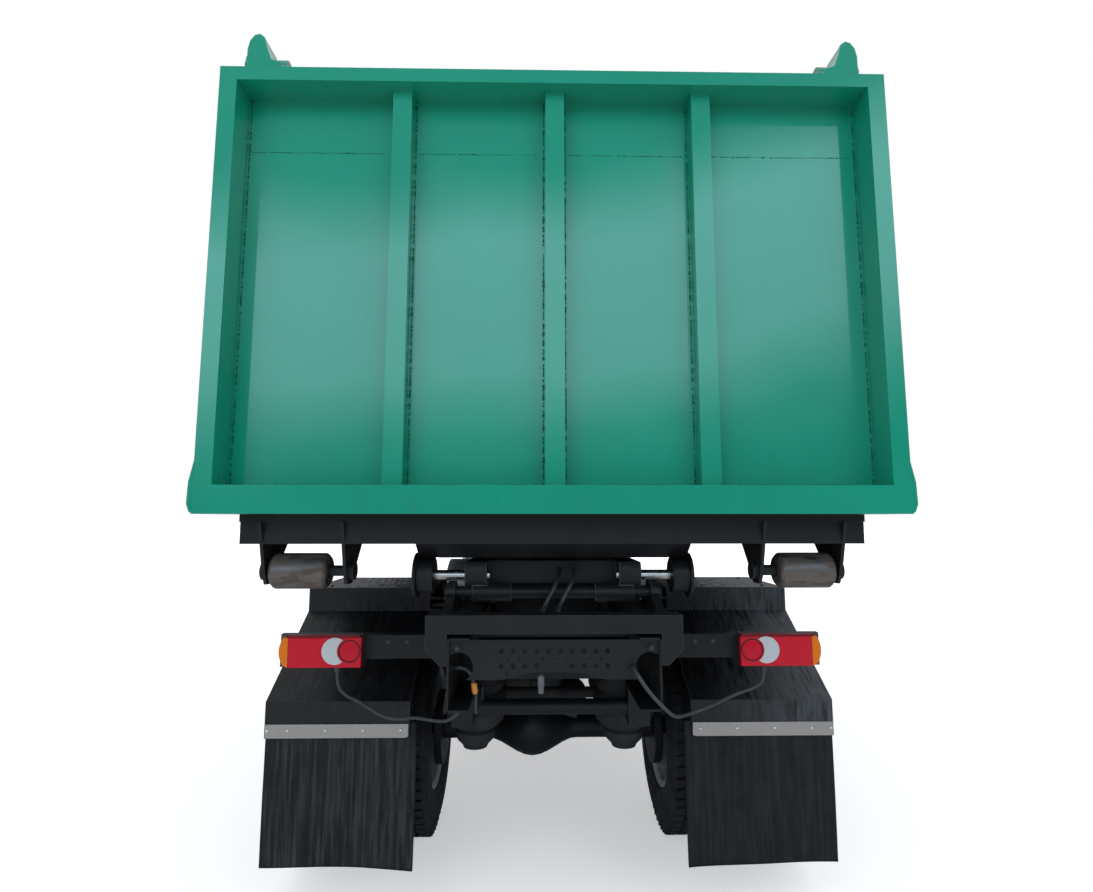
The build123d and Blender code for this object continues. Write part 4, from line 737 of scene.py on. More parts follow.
class Workshop:
    """Makes meshes and hands finished pieces to the frame."""

    def __init__(self, frame: dict) -> None:
        """Keep the loaded frame.
        """
        self.frame = frame
        self.finishes: dict[str, bpy.types.Material] = {}
        self.patterns: dict[Fastener, PatternTree] = {}
        self.slots = {s["node"]: s["material_slot"] for s in frame["record"]["subparts"]}

    def finish(self, recipe: object) -> bpy.types.Material:
        """The material of a finish, built once."""
        if recipe.name not in self.finishes:
            self.finishes[recipe.name] = recipe.make()
        return self.finishes[recipe.name]

    def paint(self, node: str, recipe: object) -> None:
        """Give a carried-over node its finish.

        Args:
            node: The node.
            recipe: Its finish.
        """
        mesh = self.frame["nodes"][node].data
        mesh.materials.clear()
        mesh.materials.append(self.finish(recipe))

    def piece(
        self, name: str, bm: bmesh.types.BMesh, recipes: list, body: str, slot: str
    ) -> bpy.types.Object:
        """Turn a bmesh into an object that rides on a body.

        Args:
            name: The piece's name.
            bm: The shape, in metres, in the part's frame. It is freed.
            recipes: The finishes of its material indices.
            body: The body that it rides on.
            slot: The record's material slot of the piece; not used.

        Returns:
            The new object.
        """
        mesh = bpy.data.meshes.new(name)
        bm.to_mesh(mesh)
        bm.free()
        for recipe in recipes:
            mesh.materials.append(self.finish(recipe))
        made = bpy.data.objects.new(name, mesh)
        bpy.context.scene.collection.objects.link(made)
        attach(made, body)
        LOG.info("%s: %d faces on %s", name, len(mesh.polygons), body)
        return made

    def scatter(
        self,
        name: str,
        kind: Fastener,
        spots: list[Spot],
        recipe: object,
        body: str,
        slot: str,
        wobble: float = 0.0,
        seed: int = 7,
    ) -> bpy.types.Object:
        """Set a small shape on many places by Geometry Nodes, as one plain mesh.

        Args:
            name: The piece's name.
            kind: The shape.
            spots: Its places.
            recipe: Its finish.
            body: The body that it rides on.
            slot: The record's material slot of the piece; not used.
            wobble: How far the sizes differ, as a share.
            seed: The start of the random sizes.

        Returns:
            The new object.
        """
        if kind not in self.patterns:
            self.patterns[kind] = PatternTree(kind)
        pattern = self.patterns[kind]
        mesh = bpy.data.meshes.new(name)
        mesh.from_pydata([s.place for s in spots], [], [])
        for key, values in (("turn", [s.turn for s in spots]), ("span", [s.span for s in spots])):
            layer = mesh.attributes.new(key, "FLOAT_VECTOR", "POINT")
            layer.data.foreach_set("vector", [number for value in values for number in value])
        made = bpy.data.objects.new(name, mesh)
        bpy.context.scene.collection.objects.link(made)
        modifier = made.modifiers.new("pattern", "NODES")
        modifier.node_group = pattern.tree
        settings = {"Scale": 1.0, "Wobble": wobble, "Seed": seed, "Finish": self.finish(recipe)}
        for key, value in settings.items():
            modifier[pattern.ids[key]] = value
        self.settle(made)
        if kind in (Fastener.BEAD, Fastener.RIVET):
            made.data.shade_smooth()
        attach(made, body)
        LOG.info("%s: %d of %s on %s", name, len(spots), kind.value, body)
        return made

    def edged(
        self, node: str, recipe: object, width: float = 0.003, segments: int = 2, wear_and_highlight: object = None
    ) -> bpy.types.Object:
        """Replace a node by its own merged shape with rounded edges.

        Args:
            node: The node to stand for.
            recipe: Its finish.
            width: How far each edge is rounded, in metres.
            segments: The number of faces across a rounded edge.
            wear_and_highlight: The finish of the rounded edges, where it differs: lighter paint that is
                partly rubbed paint and partly a painted highlight.

        Returns:
            The new object.
        """
        source = self.frame["nodes"][node]
        bm = bmesh.new()
        bm.from_mesh(source.data)
        bmesh.ops.remove_doubles(bm, verts=bm.verts, dist=MERGE_DIST)
        for face in bm.faces:
            face.smooth = True
        recipes = [recipe, wear_and_highlight] if wear_and_highlight else [recipe]
        made = self.piece(f"{node}_dressed", bm, recipes, source["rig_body"], self.slots[node])
        self.soften(made, width, segments, len(recipes) - 1)
        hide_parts(node)
        return made

    def soften(self, made: bpy.types.Object, width: float, segments: int = 2, material: int = -1) -> None:
        """Round an object's sharp edges and set its normals, as a plain mesh.

        Args:
            made: The object.
            width: How far each edge is rounded.
            segments: The number of faces across a rounded edge.
            material: The material index of the rounded edges, or -1 for that of their faces.
        """
        bevel = made.modifiers.new("edges", "BEVEL")
        bevel.width = width
        bevel.segments = segments
        bevel.limit_method = "ANGLE"
        bevel.angle_limit = math.radians(SHARP_DEG)
        bevel.use_clamp_overlap = True
        bevel.miter_outer = "MITER_ARC"
        bevel.material = material if material else -1
        made.modifiers.new("normals", "WEIGHTED_NORMAL").keep_sharp = True
        self.settle(made)

    @staticmethod
    def settle(made: bpy.types.Object) -> None:
        """Turn an object's modifiers into its plain mesh.

        Args:
            made: The object.
        """
        bpy.context.view_layer.update()
        done = bpy.data.meshes.new_from_object(made.evaluated_get(bpy.context.evaluated_depsgraph_get()))
        made.modifiers.clear()
        made.data = done


@dataclass
class Studio:
    """Floor, sky, lamps and the camera at the photograph's place."""

    camera_place: Point = (-0.07, TAIL_Y - 2.153, 1.65)
    pitch_deg: float = 6.7
    yaw_deg: float = 1.0
    focal_px: float = 620.0
    frame_px: float = 1093.0
    sensor_mm: float = 36.0
    floor_half: float = 90.0
    floor_glow: float = 0.45
    sky_steps: tuple = ((0.0, 0.22), (1.0, 0.85), (-0.1, 0.15), (0.35, 0.4))
    band_steps: tuple = (
        (0.16, 0.10), (0.78, 0.25), (0.23, 0.45), (0.33, 1.9), (0.50, 2.2), (0.60, 0.25), (0.95, 0.5)
    )
    sky_tint: Colour = (0.97, 1.0, 1.05)
    band_tint: Colour = (0.76, 1.0, 1.24)
    band_tilt: float = -0.13
    band_wave: float = 0.16

    def build(self) -> None:
        """Make the whole stage."""
        self.camera()
        self.floor()
        self.sky()
        self.lamps()
        bpy.context.scene.view_settings.view_transform = "Standard"

    def camera(self) -> None:
        """Set the camera low behind the tailgate, as the photograph has it."""
        data = bpy.data.cameras.new("photo_camera")
        data.sensor_width = self.sensor_mm
        data.lens = self.focal_px / self.frame_px * self.sensor_mm
        data.clip_end = 200
        made = bpy.data.objects.new("photo_camera", data)
        made.location = self.camera_place
        made.rotation_euler = (math.radians(90 + self.pitch_deg), 0, math.radians(-self.yaw_deg))
        bpy.context.scene.collection.objects.link(made)
        bpy.context.scene.camera = made

    def floor(self) -> None:
        """A plain pale floor that takes the shadow."""
        bm = bmesh.new()
        bmesh.ops.create_grid(bm, x_segments=1, y_segments=1, size=self.floor_half)
        mesh = bpy.data.meshes.new("floor")
        bm.to_mesh(mesh)
        bm.free()
        g = Graph("floor_paint")
        seen = g.add("LightPath").outputs["Is Camera Ray"]
        reach = g.add("VectorMath", {"Vector": g.place}, operation="LENGTH").outputs["Value"]
        far = g.remap(reach, 7.0, 22.0, (self.floor_glow, 1.0))
        g.finish(Base_Color=(0.80, 0.80, 0.80, 1), Roughness=0.9, Specular_IOR_Level=0.0)
        g.finish(Emission_Color=WHITE, Emission_Strength=g.maths("MULTIPLY", far, seen))
        mesh.materials.append(g.material)
        made = bpy.data.objects.new("floor", mesh)
        bpy.context.scene.collection.objects.link(made)

    def sky(self) -> None:
        """An overcast sky: white to the camera, with a bright band low behind it for the gloss paint."""
        world = bpy.data.worlds.new("overcast")
        bpy.context.scene.world = world
        world.use_nodes = True
        tree = world.node_tree
        place = wired(tree, "ShaderNodeTexCoord").outputs["Generated"]
        x, y, z = wired(tree, "ShaderNodeSeparateXYZ", {0: place}).outputs
        all_round = self.ramp(tree, z, self.sky_steps, self.sky_tint)
        tilted = {0: x, 1: self.band_tilt, 2: z}
        tilted = wired(tree, "ShaderNodeMath", tilted, operation="MULTIPLY_ADD").outputs[0]
        cloud = {"Vector": place, "Scale": 3.0, "Detail": 3.0}
        cloud = wired(tree, "ShaderNodeTexNoise", cloud).outputs["Fac"]
        waved = {0: cloud, 1: self.band_wave, 2: tilted}
        waved = wired(tree, "ShaderNodeMath", waved, operation="MULTIPLY_ADD").outputs[0]
        band = self.ramp(tree, waved, self.band_steps, self.band_tint)
        limits = {"Value": y, "From Min": -0.35, "From Max": -0.85}
        rear = wired(tree, "ShaderNodeMapRange", limits, interpolation_type="SMOOTHSTEP").outputs["Result"]
        dome = mixed(tree, rear, all_round, band)
        seen = wired(tree, "ShaderNodeLightPath").outputs["Is Camera Ray"]
        feed(tree, tree.nodes["Background"].inputs["Color"], mixed(tree, seen, dome, WHITE))

    @staticmethod
    def ramp(
        tree: bpy.types.NodeTree, height: Socket, steps: tuple, tint: Point
    ) -> Socket:
        """Tinted greys that follow the height of a direction, from -1 to 1.

        Args:
            tree: The world's nodes.
            height: The direction's Z.
            steps: Pairs of a height and a brightness.
            tint: The tint.

        Returns:
            The colour.
        """
        lift = wired(tree, "ShaderNodeMapRange", {"Value": height, "From Min": -1}).outputs["Result"]
        node = wired(tree, "ShaderNodeValToRGB", {"Fac": lift})
        for i, (place, grey) in enumerate(steps):
            position = (place + 1) / 2
            stop = node.color_ramp.elements[i] if i < 2 else node.color_ramp.elements.new(position)
            stop.position = position
            stop.color = (grey * tint[0], grey * tint[1], grey * tint[2], 1)
        return node.outputs["Color"]

    def lamps(self) -> None:
        """Soft panels over the truck, behind the camera and ahead of the cab."""
        table = (
            ("key_panel", (-4.0, -9.5, 6.5), (52, 0, -22), 7.0, 180),
            ("fill_panel", (6.0, -8.0, 4.5), (62, 0, 38), 6.0, 100),
            ("top_panel", (0.0, 0.0, 9.0), (0, 0, 0), 8.0, 230),
            ("front_panel", (3.5, 10.0, 6.0), (-55, 0, 160), 7.0, 260),
        )
        for name, place, turn, size, power in table:
            data = bpy.data.lights.new(name, "AREA")
            data.shape = "SQUARE"
            data.size = size
            data.energy = power
            made = bpy.data.objects.new(name, data)
            made.location = place
            made.rotation_euler = [math.radians(a) for a in turn]
            made.visible_glossy = False
            bpy.context.scene.collection.objects.link(made)


GREEN = Enamel("container_enamel", (0.004, 0.27, 0.165))
CAB_WHITE = Enamel(
    "cab_enamel",
    (0.62, 0.64, 0.64),
    grime_base=0.95,
    grime_height=0.6,
    grime_share=0.4,
    grime=(0.2, 0.19, 0.17),
)
BLACK = ChassisPaint()
# Black plastic of the rear mudguards, with a painted reflection on the right-hand one.
PLASTIC = WetPlastic()
FLAP = Rubber("flap_rubber", (0.009, 0.009, 0.0105), (0.05, 0.05, 0.054), lean=0.5)
TYRE = Rubber("tyre_rubber", (0.014, 0.014, 0.015), (0.05, 0.048, 0.045), (1.0, 1.0, 1.0), 0.5)
BELLOW = Rubber("bellow_rubber", (0.02, 0.02, 0.021), (0.06, 0.055, 0.05), (1.0, 1.0, 1.0))
SHEATH = Rubber(
    "cable_rubber", (0.045, 0.047, 0.051), (0.11, 0.11, 0.11), (1.0, 1.0, 1.0), 0.5, roughness=(0.35, 0.5)
)
STRIP = RolledMetal("strip_alloy", (0.44, 0.40, 0.37), (0.45, 0.6))
TANK = RolledMetal("tank_alloy", (0.42, 0.43, 0.44), (0.3, 0.45))
WORN = RolledMetal("worn_steel", (0.17, 0.15, 0.14), (0.35, 0.55), (1.0, 6.0, 6.0), 1.0)
BRIGHT = RolledMetal("bright_steel", (0.55, 0.53, 0.50), (0.2, 0.35), (14.0, 1.0, 1.0), 0.35)
CHROME = RolledMetal("rod_chrome", (0.72, 0.73, 0.75), (0.08, 0.16))
RIM = Enamel(
    "rim_enamel",
    (0.33, 0.34, 0.35),
    0.4,
    0.3,
    0.2,
    grime_base=0.1,
    grime_height=0.5,
    grime_share=0.4,
    grime=(0.09, 0.08, 0.07),
)
IRON = Moulded("engine_iron", (0.02, 0.021, 0.022), (0.5, 0.7), 200.0)
GRAINED = Moulded("grained_plastic")
DASH = Moulded("dash_plastic", (0.045, 0.047, 0.05))
RED = LampLens("red_lens", (0.56, 0.006, 0.022))
AMBER = LampLens("amber_lens", (0.72, 0.17, 0.006))
CLEAR = LampLens("clear_lens", (0.56, 0.57, 0.57), 160.0, 0.0)
GLASS = ClearGlass()
CLOTH = SeatCloth()
SEAM = Enamel("weld_enamel", (0.002, 0.11, 0.07), 0.45, 0.2)
# Lighter paint on rounded edges: rubbed paint, and a painted highlight that makes the edges show on black.
WORN_EDGE_HIGHLIGHT = ChassisPaint("edge_wear", (0.055, 0.056, 0.06), (0.16, 0.16, 0.16))
# Lighter grey on the rear mudguards' fold edges: a painted highlight, also standing for rubbed edges.
PLASTIC_EDGE_HIGHLIGHT = ChassisPaint("plastic_edge", (0.10, 0.105, 0.115), (0.2, 0.2, 0.21))
BOLT_METAL = RolledMetal("bolt_metal", (0.07, 0.07, 0.075), (0.35, 0.55), (1.0, 1.0, 1.0), 0.4)
RIVET_METAL = RolledMetal("rivet_metal", (0.78, 0.77, 0.75), (0.15, 0.3), (1.0, 1.0, 1.0))
PIPE = Moulded("pipe_paint", (0.022, 0.022, 0.024), (0.25, 0.4), 300.0)
RED_TOP = LampLens("dark_red_lens", (0.16, 0.006, 0.012), 90.0, 0.02)
ORANGE = Moulded("connector_orange", (0.75, 0.27, 0.03))
PLUG_GREY = Moulded("plug_grey", (0.11, 0.11, 0.12))


@dataclass
class SubAssembly:
    """A group of pieces, made in one workshop."""

    shop: Workshop


@dataclass
class Tailgate(SubAssembly):
    """The ribbed rear door: rounded pressings and the weld seams along its ribs and edges."""

    sheet_y: float = TAIL_Y + 0.12
    half: float = 1.186
    low: float = 1.767
    high: float = 3.276
    joint_z: float = 3.06
    ribs: tuple[float, ...] = (-0.58, 0.0, 0.56)
    rib_half: float = 0.036
    gap: float = 0.006
    pitch: float = 0.011
    missing: float = 0.14
    seam_y: float = TAIL_Y + 0.0032

    def seam(
        self, start: tuple[float, float], end: tuple[float, float], y: float, radius: float
    ) -> list[Spot]:
        """Weld beads along a line on a vertical sheet, with a few left out.

        Args:
            start: The line's first end, as (x, z).
            end: Its other end.
            y: The sheet's face.
            radius: Half the seam's width.

        Returns:
            The beads.
        """
        chance = random.Random(round(1000 * (start[0] + start[1])))
        line = Vector(end) - Vector(start)
        count = int(line.length / self.pitch)
        turn = (0, -math.atan2(line.y, line.x), 0)
        spots = []
        for i in range(count):
            if chance.random() < self.missing:
                continue
            place = Vector(start) + line * (i + chance.random() * 0.5) / count
            size = radius * chance.uniform(0.7, 1.25)
            z = place.y + chance.uniform(-1, 1) * 0.001
            spots.append(Spot((place.x, y, z), turn, (size * 1.5, size * 0.7, size)))
        return spots

    def build(self) -> None:
        """Round the pressings and lay the seams."""
        self.shop.edged("tailgate", GREEN, 0.009, 3)
        spots = []
        edges = [-self.half]
        for rib in self.ribs:
            edges += [rib - self.rib_half, rib + self.rib_half]
        edges.append(self.half)
        for i, x in enumerate(edges):
            inset = self.gap if i % 2 == 0 else -self.gap
            spots += self.seam((x + inset, self.low), (x + inset, self.high), self.sheet_y, 0.0035)
        for left, right in zip(edges[::2], edges[1::2]):
            spots += self.seam((left, self.low + self.gap), (right, self.low + self.gap), self.sheet_y, 0.003)
            ends = (left + 0.02, self.joint_z), (right - 0.02, self.joint_z)
            spots += self.seam(*ends, self.sheet_y, 0.0025)
        for side in Side:
            corner = (side.x(1.243), self.low - 0.093)
            spots += self.seam(corner, (side.x(self.half), self.low - 0.006), self.seam_y, 0.003)
        self.shop.scatter("tailgate_seams", Fastener.BEAD, spots, SEAM, "tailgate", "container_green", 0.2)


@dataclass
class Container(SubAssembly):
    """The open body: rounded pressings, seams along its ribs and pegs for the load net."""

    wall_x: float = 1.173
    rib_pitch: float = 0.56
    first_rib: float = TAIL_Y + 0.131
    low: float = 1.70
    high: float = 3.235
    peg_x: float = 1.247
    peg_z: float = 3.285
    ribs: int = 8
    beads: int = 60

    def build(self) -> None:
        """Make the body's pieces."""
        self.shop.edged("container_shell", GREEN, 0.006)
        # The base's rounded edges take lighter paint: rubbed paint with a painted highlight.
        self.shop.edged("container_base", BLACK, 0.004, 2, WORN_EDGE_HIGHLIGHT)
        beads, pegs = [], []
        for side in Side:
            sideways = turned_to((side.value, 0, 0), (0, 0, 1))
            for rib in range(self.ribs):
                for reach in (-0.046, 0.046):
                    y = self.first_rib + 0.04 + rib * self.rib_pitch + reach
                    for step in range(self.beads):
                        z = self.low + (self.high - self.low) * step / (self.beads - 1)
                        beads.append(Spot((side.x(self.wall_x), y, z), sideways, (0.009, 0.004, 0.003)))
            places = [(self.peg_x, TAIL_Y + 0.40 + step * 0.52, self.peg_z) for step in range(9)]
            pegs += fixings(side, places, sideways, 0.009, 0.035)
        body, slot = "hook_and_container", "container_green"
        self.shop.scatter("side_seams", Fastener.BEAD, beads, SEAM, body, slot, 0.3)
        self.shop.scatter("net_pegs", Fastener.PEG, pegs, GREEN, body, slot)


@dataclass
class Wheels(SubAssembly):
    """All six tyres with their treads, the rims and the wheel nuts."""

    bead: float = 0.291
    half: float = 0.155
    base: float = 0.507
    tread: float = 0.5188
    lugs: int = 60
    rows: tuple = ((-0.112, 0.044), (-0.056, 0.042), (0.0, 0.042), (0.056, 0.042), (0.112, 0.044))
    slant: float = 0.16
    front_x: float = 1.0
    rear_x: tuple[float, float] = (1.085, 0.735)
    dual_x: float = 0.91
    nut_ring: float = 0.15
    nuts: int = 10

    def wall(self) -> Profile:
        """The outer sidewall from the bead to the shoulder, as (offset from the middle, radius)."""
        out = self.half
        return [
            (0.125, self.bead),
            (0.127, 0.300),
            (0.136, 0.318),
            (0.139, 0.320),
            (0.146, 0.345),
            (0.150, 0.356),
            (0.1525, 0.358),
            (0.1525, 0.363),
            (0.1515, 0.366),
            (out - 0.001, 0.385),
            (out, 0.402),
            (out - 0.001, 0.424),
            (out - 0.005, 0.444),
            (out - 0.003, 0.447),
            (out - 0.004, 0.453),
            (out - 0.008, 0.457),
            (out - 0.011, 0.478),
            (out - 0.016, 0.496),
            (out - 0.023, 0.505),
        ]

    def tyre(self, side: Side, x: float, y: float, grooves: bool) -> tuple[Builder, list[Spot]]:
        """One tyre's carcass and, where it has no ribs, its tread blocks.

        Args:
            side: The side of the truck.
            x: Its middle across the truck, from the centre line.
            y: Its axle.
            grooves: Whether the tread is ribs, with round grooves between them.

        Returns:
            The carcass and its blocks.
        """
        made = Builder()
        half = self.wall()
        crown = [(0.118, self.base)]
        if grooves:
            crown = []
            for rib in (0.128, 0.078, 0.028):
                crown += [(rib - 0.001, self.tread), (rib - 0.038, self.tread)]
                crown += [(rib - 0.041, self.base), (rib - 0.047, self.base)]
            crown = crown[:-2]
        profile = half + crown + [(-a, r) for a, r in reversed(half + crown)]
        made.lathe((side.x(x), y, WHEEL_Z), profile, steps=96)
        spots = []
        for i in range(0 if grooves else self.lugs):
            for row, (across, width) in enumerate(self.rows):
                a = math.tau * (i + 0.5 * (row % 2)) / self.lugs
                out = (0, math.sin(a), math.cos(a))
                middle = self.tread - 0.009
                place = (side.x(x) + across, y + middle * out[1], WHEEL_Z + middle * out[2])
                along = (1, self.slant * math.cos(a), -self.slant * math.sin(a))
                spots.append(Spot(place, turned_to(out, along), (width, 0.040, 0.018)))
        return made, spots

    def nut_spots(self, side: Side, x: float, y: float) -> list[Spot]:
        """The ring of wheel nuts on a disc's outer face.

        Args:
            side: The side of the truck.
            x: The face, from the centre line.
            y: The axle's place.

        Returns:
            The nuts.
        """
        turn = turned_to((side.value, 0, 0))
        spots = []
        for i in range(self.nuts):
            a = math.tau * i / self.nuts
            place = (side.x(x), y + self.nut_ring * math.sin(a), WHEEL_Z + self.nut_ring * math.cos(a))
            spots.append(Spot(place, turn, (0.0165, 0.0165, 0.026)))
        return spots

    def cap(self, side: Side, x: float, y: float, name: str, body: str) -> None:
        """A domed hub cap on a hub's end.

        Args:
            side: The side of the truck.
            x: The hub's end, from the centre line.
            y: The axle's place.
            name: The piece's name.
            body: The body that it rides on.
        """
        made = Builder()
        profile = [(-0.004, 0.004), (0.016, 0.004), (0.014, 0.03)]
        profile += [(0.009, 0.05), (0.003, 0.062), (-0.004, 0.064)]
        made.lathe((side.x(x), y, WHEEL_Z), [(side.value * a, r) for a, r in profile], 40)
        self.shop.piece(name, made.done(), [IRON], body, "rim_paint")

    def axle(
        self, side: Side, word: str, y: float, places: tuple[float, ...], nut_x: float, cap_x: float
    ) -> None:
        """Dress the wheels at one end of an axle.

        Args:
            side: The side of the truck.
            word: Which axle, as its nodes spell it.
            y: The axle's place.
            places: The middle of each tyre, from the centre line.
            nut_x: The disc's outer face.
            cap_x: The hub's end.
        """
        twin = len(places) > 1
        body = f"rear_wheels_{side.word}" if twin else f"front_wheel_{side.word}"
        rubber, blocks = Builder(), []
        for x in places:
            made, spots = self.tyre(side, x, y, not twin)
            made.bm.to_mesh(scrap := bpy.data.meshes.new("carcass"))
            rubber.bm.from_mesh(scrap)
            made.bm.free()
            bpy.data.meshes.remove(scrap)
            blocks += spots
        tyre = self.shop.piece(f"tyre_{word}_{side.word}_dressed", rubber.done(), [TYRE], body, "tyre_rubber")
        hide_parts(f"tyres_{word}_{side.word}" if twin else f"tyre_{word}_{side.word}")
        if blocks:
            name = f"tread_{word}_{side.word}"
            self.shop.scatter(name, Fastener.BLOCK, blocks, TYRE, body, "tyre_rubber", 0.02)
        self.shop.edged(f"rims_{word}_{side.word}" if twin else f"rim_{word}_{side.word}", RIM, 0.002)
        nuts = self.nut_spots(side, nut_x, y)
        self.shop.scatter(f"nuts_{word}_{side.word}", Fastener.BOLT, nuts, BRIGHT, body, "rim_paint")
        self.cap(side, cap_x, y, f"cap_{word}_{side.word}", body)

    def build(self) -> None:
        """Dress every wheel."""
        for side in Side:
            self.axle(side, "front", FRONT_AXLE_Y, (self.front_x,), self.front_x + 0.095, self.front_x + 0.12)
            self.axle(side, "rear", REAR_AXLE_Y, self.rear_x, self.dual_x + 0.016, self.dual_x + 0.12)


@dataclass
class TailLamps(SubAssembly):
    """The two rear lamps: a red lens, an amber end, a white crescent and a round stop lens."""

    inner: float = 0.803
    outer: float = 1.147
    low: float = 1.030
    high: float = 1.165
    face_y: float = TAIL_Y + 0.5475
    back_y: float = TAIL_Y + 0.60
    amber_x: float = 1.108
    round_x: float = 0.851
    white_x: float = 0.912
    gland_x: float = 0.905

    def face(self, side: Side, outline: Profile) -> list[Point]:
        """An outline in the lens's plane, from distances to the centre line and heights."""
        return [(side.x(x), self.face_y, z) for x, z in outline]

    def build(self) -> None:
        """Make both lamps."""
        lamps = Builder()
        middle = (self.low + self.high) / 2
        for side in Side:
            top = self.high - 0.010
            corner = (side.x(self.inner), self.face_y + 0.022, self.low)
            lamps.box(corner, (side.x(self.outer), self.back_y, self.high), 1)
            low, high = self.low + 0.001, self.high - 0.014
            lens = [(self.inner, low), (self.amber_x, low), (self.amber_x, high), (self.inner, high)]
            lamps.prism(self.face(side, lens), (0, 0.03, 0), 0)
            end = arc((self.amber_x - 0.060, middle), 0.0985, -35, 37, 10)
            end = [(min(x, self.outer), z) for x, z in end]
            amber = [(self.amber_x + 0.001, high), (self.amber_x + 0.001, low), *end]
            lamps.prism(self.face(side, amber), (0, 0.04, 0), 2)
            roof = [(self.inner, high + 0.0005), (self.outer - 0.02, high + 0.0005)]
            roof += [(self.outer - 0.035, top + 0.009), (self.inner + 0.008, top + 0.009)]
            lamps.prism(self.face(side, roof), (0, 0.045, 0), 4)
            bite = arc((self.round_x, middle), 0.052, 58, -58, 14)
            crescent = arc((self.white_x, middle), 0.0555, -112, 112, 24)
            front = [(x, y - 0.0012, z) for x, y, z in self.face(side, [*crescent, *bite])]
            lamps.prism(front, (0, 0.01, 0), 3)
            centre = (side.x(self.round_x), self.face_y, middle)
            ring = [(-0.0016, 0.0475), (-0.0022, 0.045), (-0.0022, 0.041), (0.004, 0.040), (0.004, 0.0475)]
            lamps.lathe(centre, ring, 40, 4, (0, 1, 0))
            dome = [(-0.0012, 0.036), (-0.0024, 0.028), (-0.0024, 0.026), (-0.0012, 0.025)]
            dome += [(-0.0026, 0.016), (-0.003, 0.002), (0.004, 0.002), (0.004, 0.036)]
            lamps.lathe(centre, dome, 40, 0, (0, 1, 0))
            gland = (side.x(self.gland_x), self.back_y - 0.0275, 1.020)
            lamps.lathe(gland, drum(-0.010, 0.011, 0.013), 16, 1, (0, 0, 1))
        recipes = [RED, GRAINED, AMBER, CLEAR, RED_TOP]
        made = self.shop.piece("tail_lamps_dressed", lamps.done(), recipes, "chassis", "lamp_red")
        self.shop.soften(made, 0.0022)
        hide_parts("tail_lamps")


@dataclass
class Flaps(SubAssembly):
    """Mud flaps with the metal strips and rivets that hold them."""

    inner: float = 0.593
    outer: float = 1.248
    low: float = 0.17
    high: float = 0.762
    rear_y: float = TAIL_Y + 0.7063
    thick: float = 0.010
    strip_y: float = TAIL_Y + 0.6887
    strip_z: float = 0.731
    rivet_x: tuple[float, ...] = (0.657, 0.82, 0.985, 1.149, 1.236)
    across: int = 40
    down: int = 36

    def sheet_point(self, side: Side, u: float, v: float, back: float) -> Point:
        """A point of a flap, which waves and curls a little towards its lower inner corner.

        Args:
            side: The side of the truck.
            u: The share of the width, from the inner edge.
            v: The share of the height, from the top.
            back: The distance ahead of the flap's rear face.

        Returns:
            The point.
        """
        x = self.inner + (self.outer - self.inner) * u
        z = self.high - (self.high - self.low) * v
        wave = 0.006 * v * math.sin(7 * u + 2.2 * side.value) + 0.004 * v * math.sin(3.1 * v + 4 * u)
        curl = 0.035 * max(0.0, 1 - u * 2.2) ** 2 * v**2
        return (side.x(x - 0.004 * v * (1 - u)), self.rear_y + back + wave * min(1.0, 2 * v) - curl, z)

    def build(self) -> None:
        """Make flaps, strips and rivets."""
        rubber, strips, rivets = Builder(), Builder(), []
        for side in Side:
            rings = []
            for j in range(self.down + 1):
                row = [(i / self.across, j / self.down) for i in range(self.across + 1)]
                ring = [self.sheet_point(side, u, v, 0.0) for u, v in row]
                rings.append(ring + [self.sheet_point(side, u, v, self.thick) for u, v in reversed(row)])
            rubber.skin(rings, around=True, along=False)
            low, high = self.strip_z - 0.029, self.strip_z + 0.029
            outline = [(0.624, low + 0.004), (0.640, low), (1.246, low), (1.246, high), (0.624, high)]
            strips.prism([(side.x(x), self.strip_y, z) for x, z in outline], (0, 0.005, 0))
            places = [(x, self.strip_y, self.strip_z + 0.003) for x in self.rivet_x]
            rivets += fixings(side, places, turned_to((0, -1, 0)), 0.007, 0.0035)
        flaps = self.shop.piece("mud_flaps_dressed", rubber.done(), [FLAP], "chassis", "flap_rubber")
        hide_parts("mud_flaps")
        made = self.shop.piece("flap_strips_dressed", strips.done(), [STRIP], "chassis", "strip_alloy")
        self.shop.soften(made, 0.0012)
        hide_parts("flap_strips")
        self.shop.scatter("strip_rivets", Fastener.RIVET, rivets, RIVET_METAL, "chassis", "strip_alloy", 0.05)


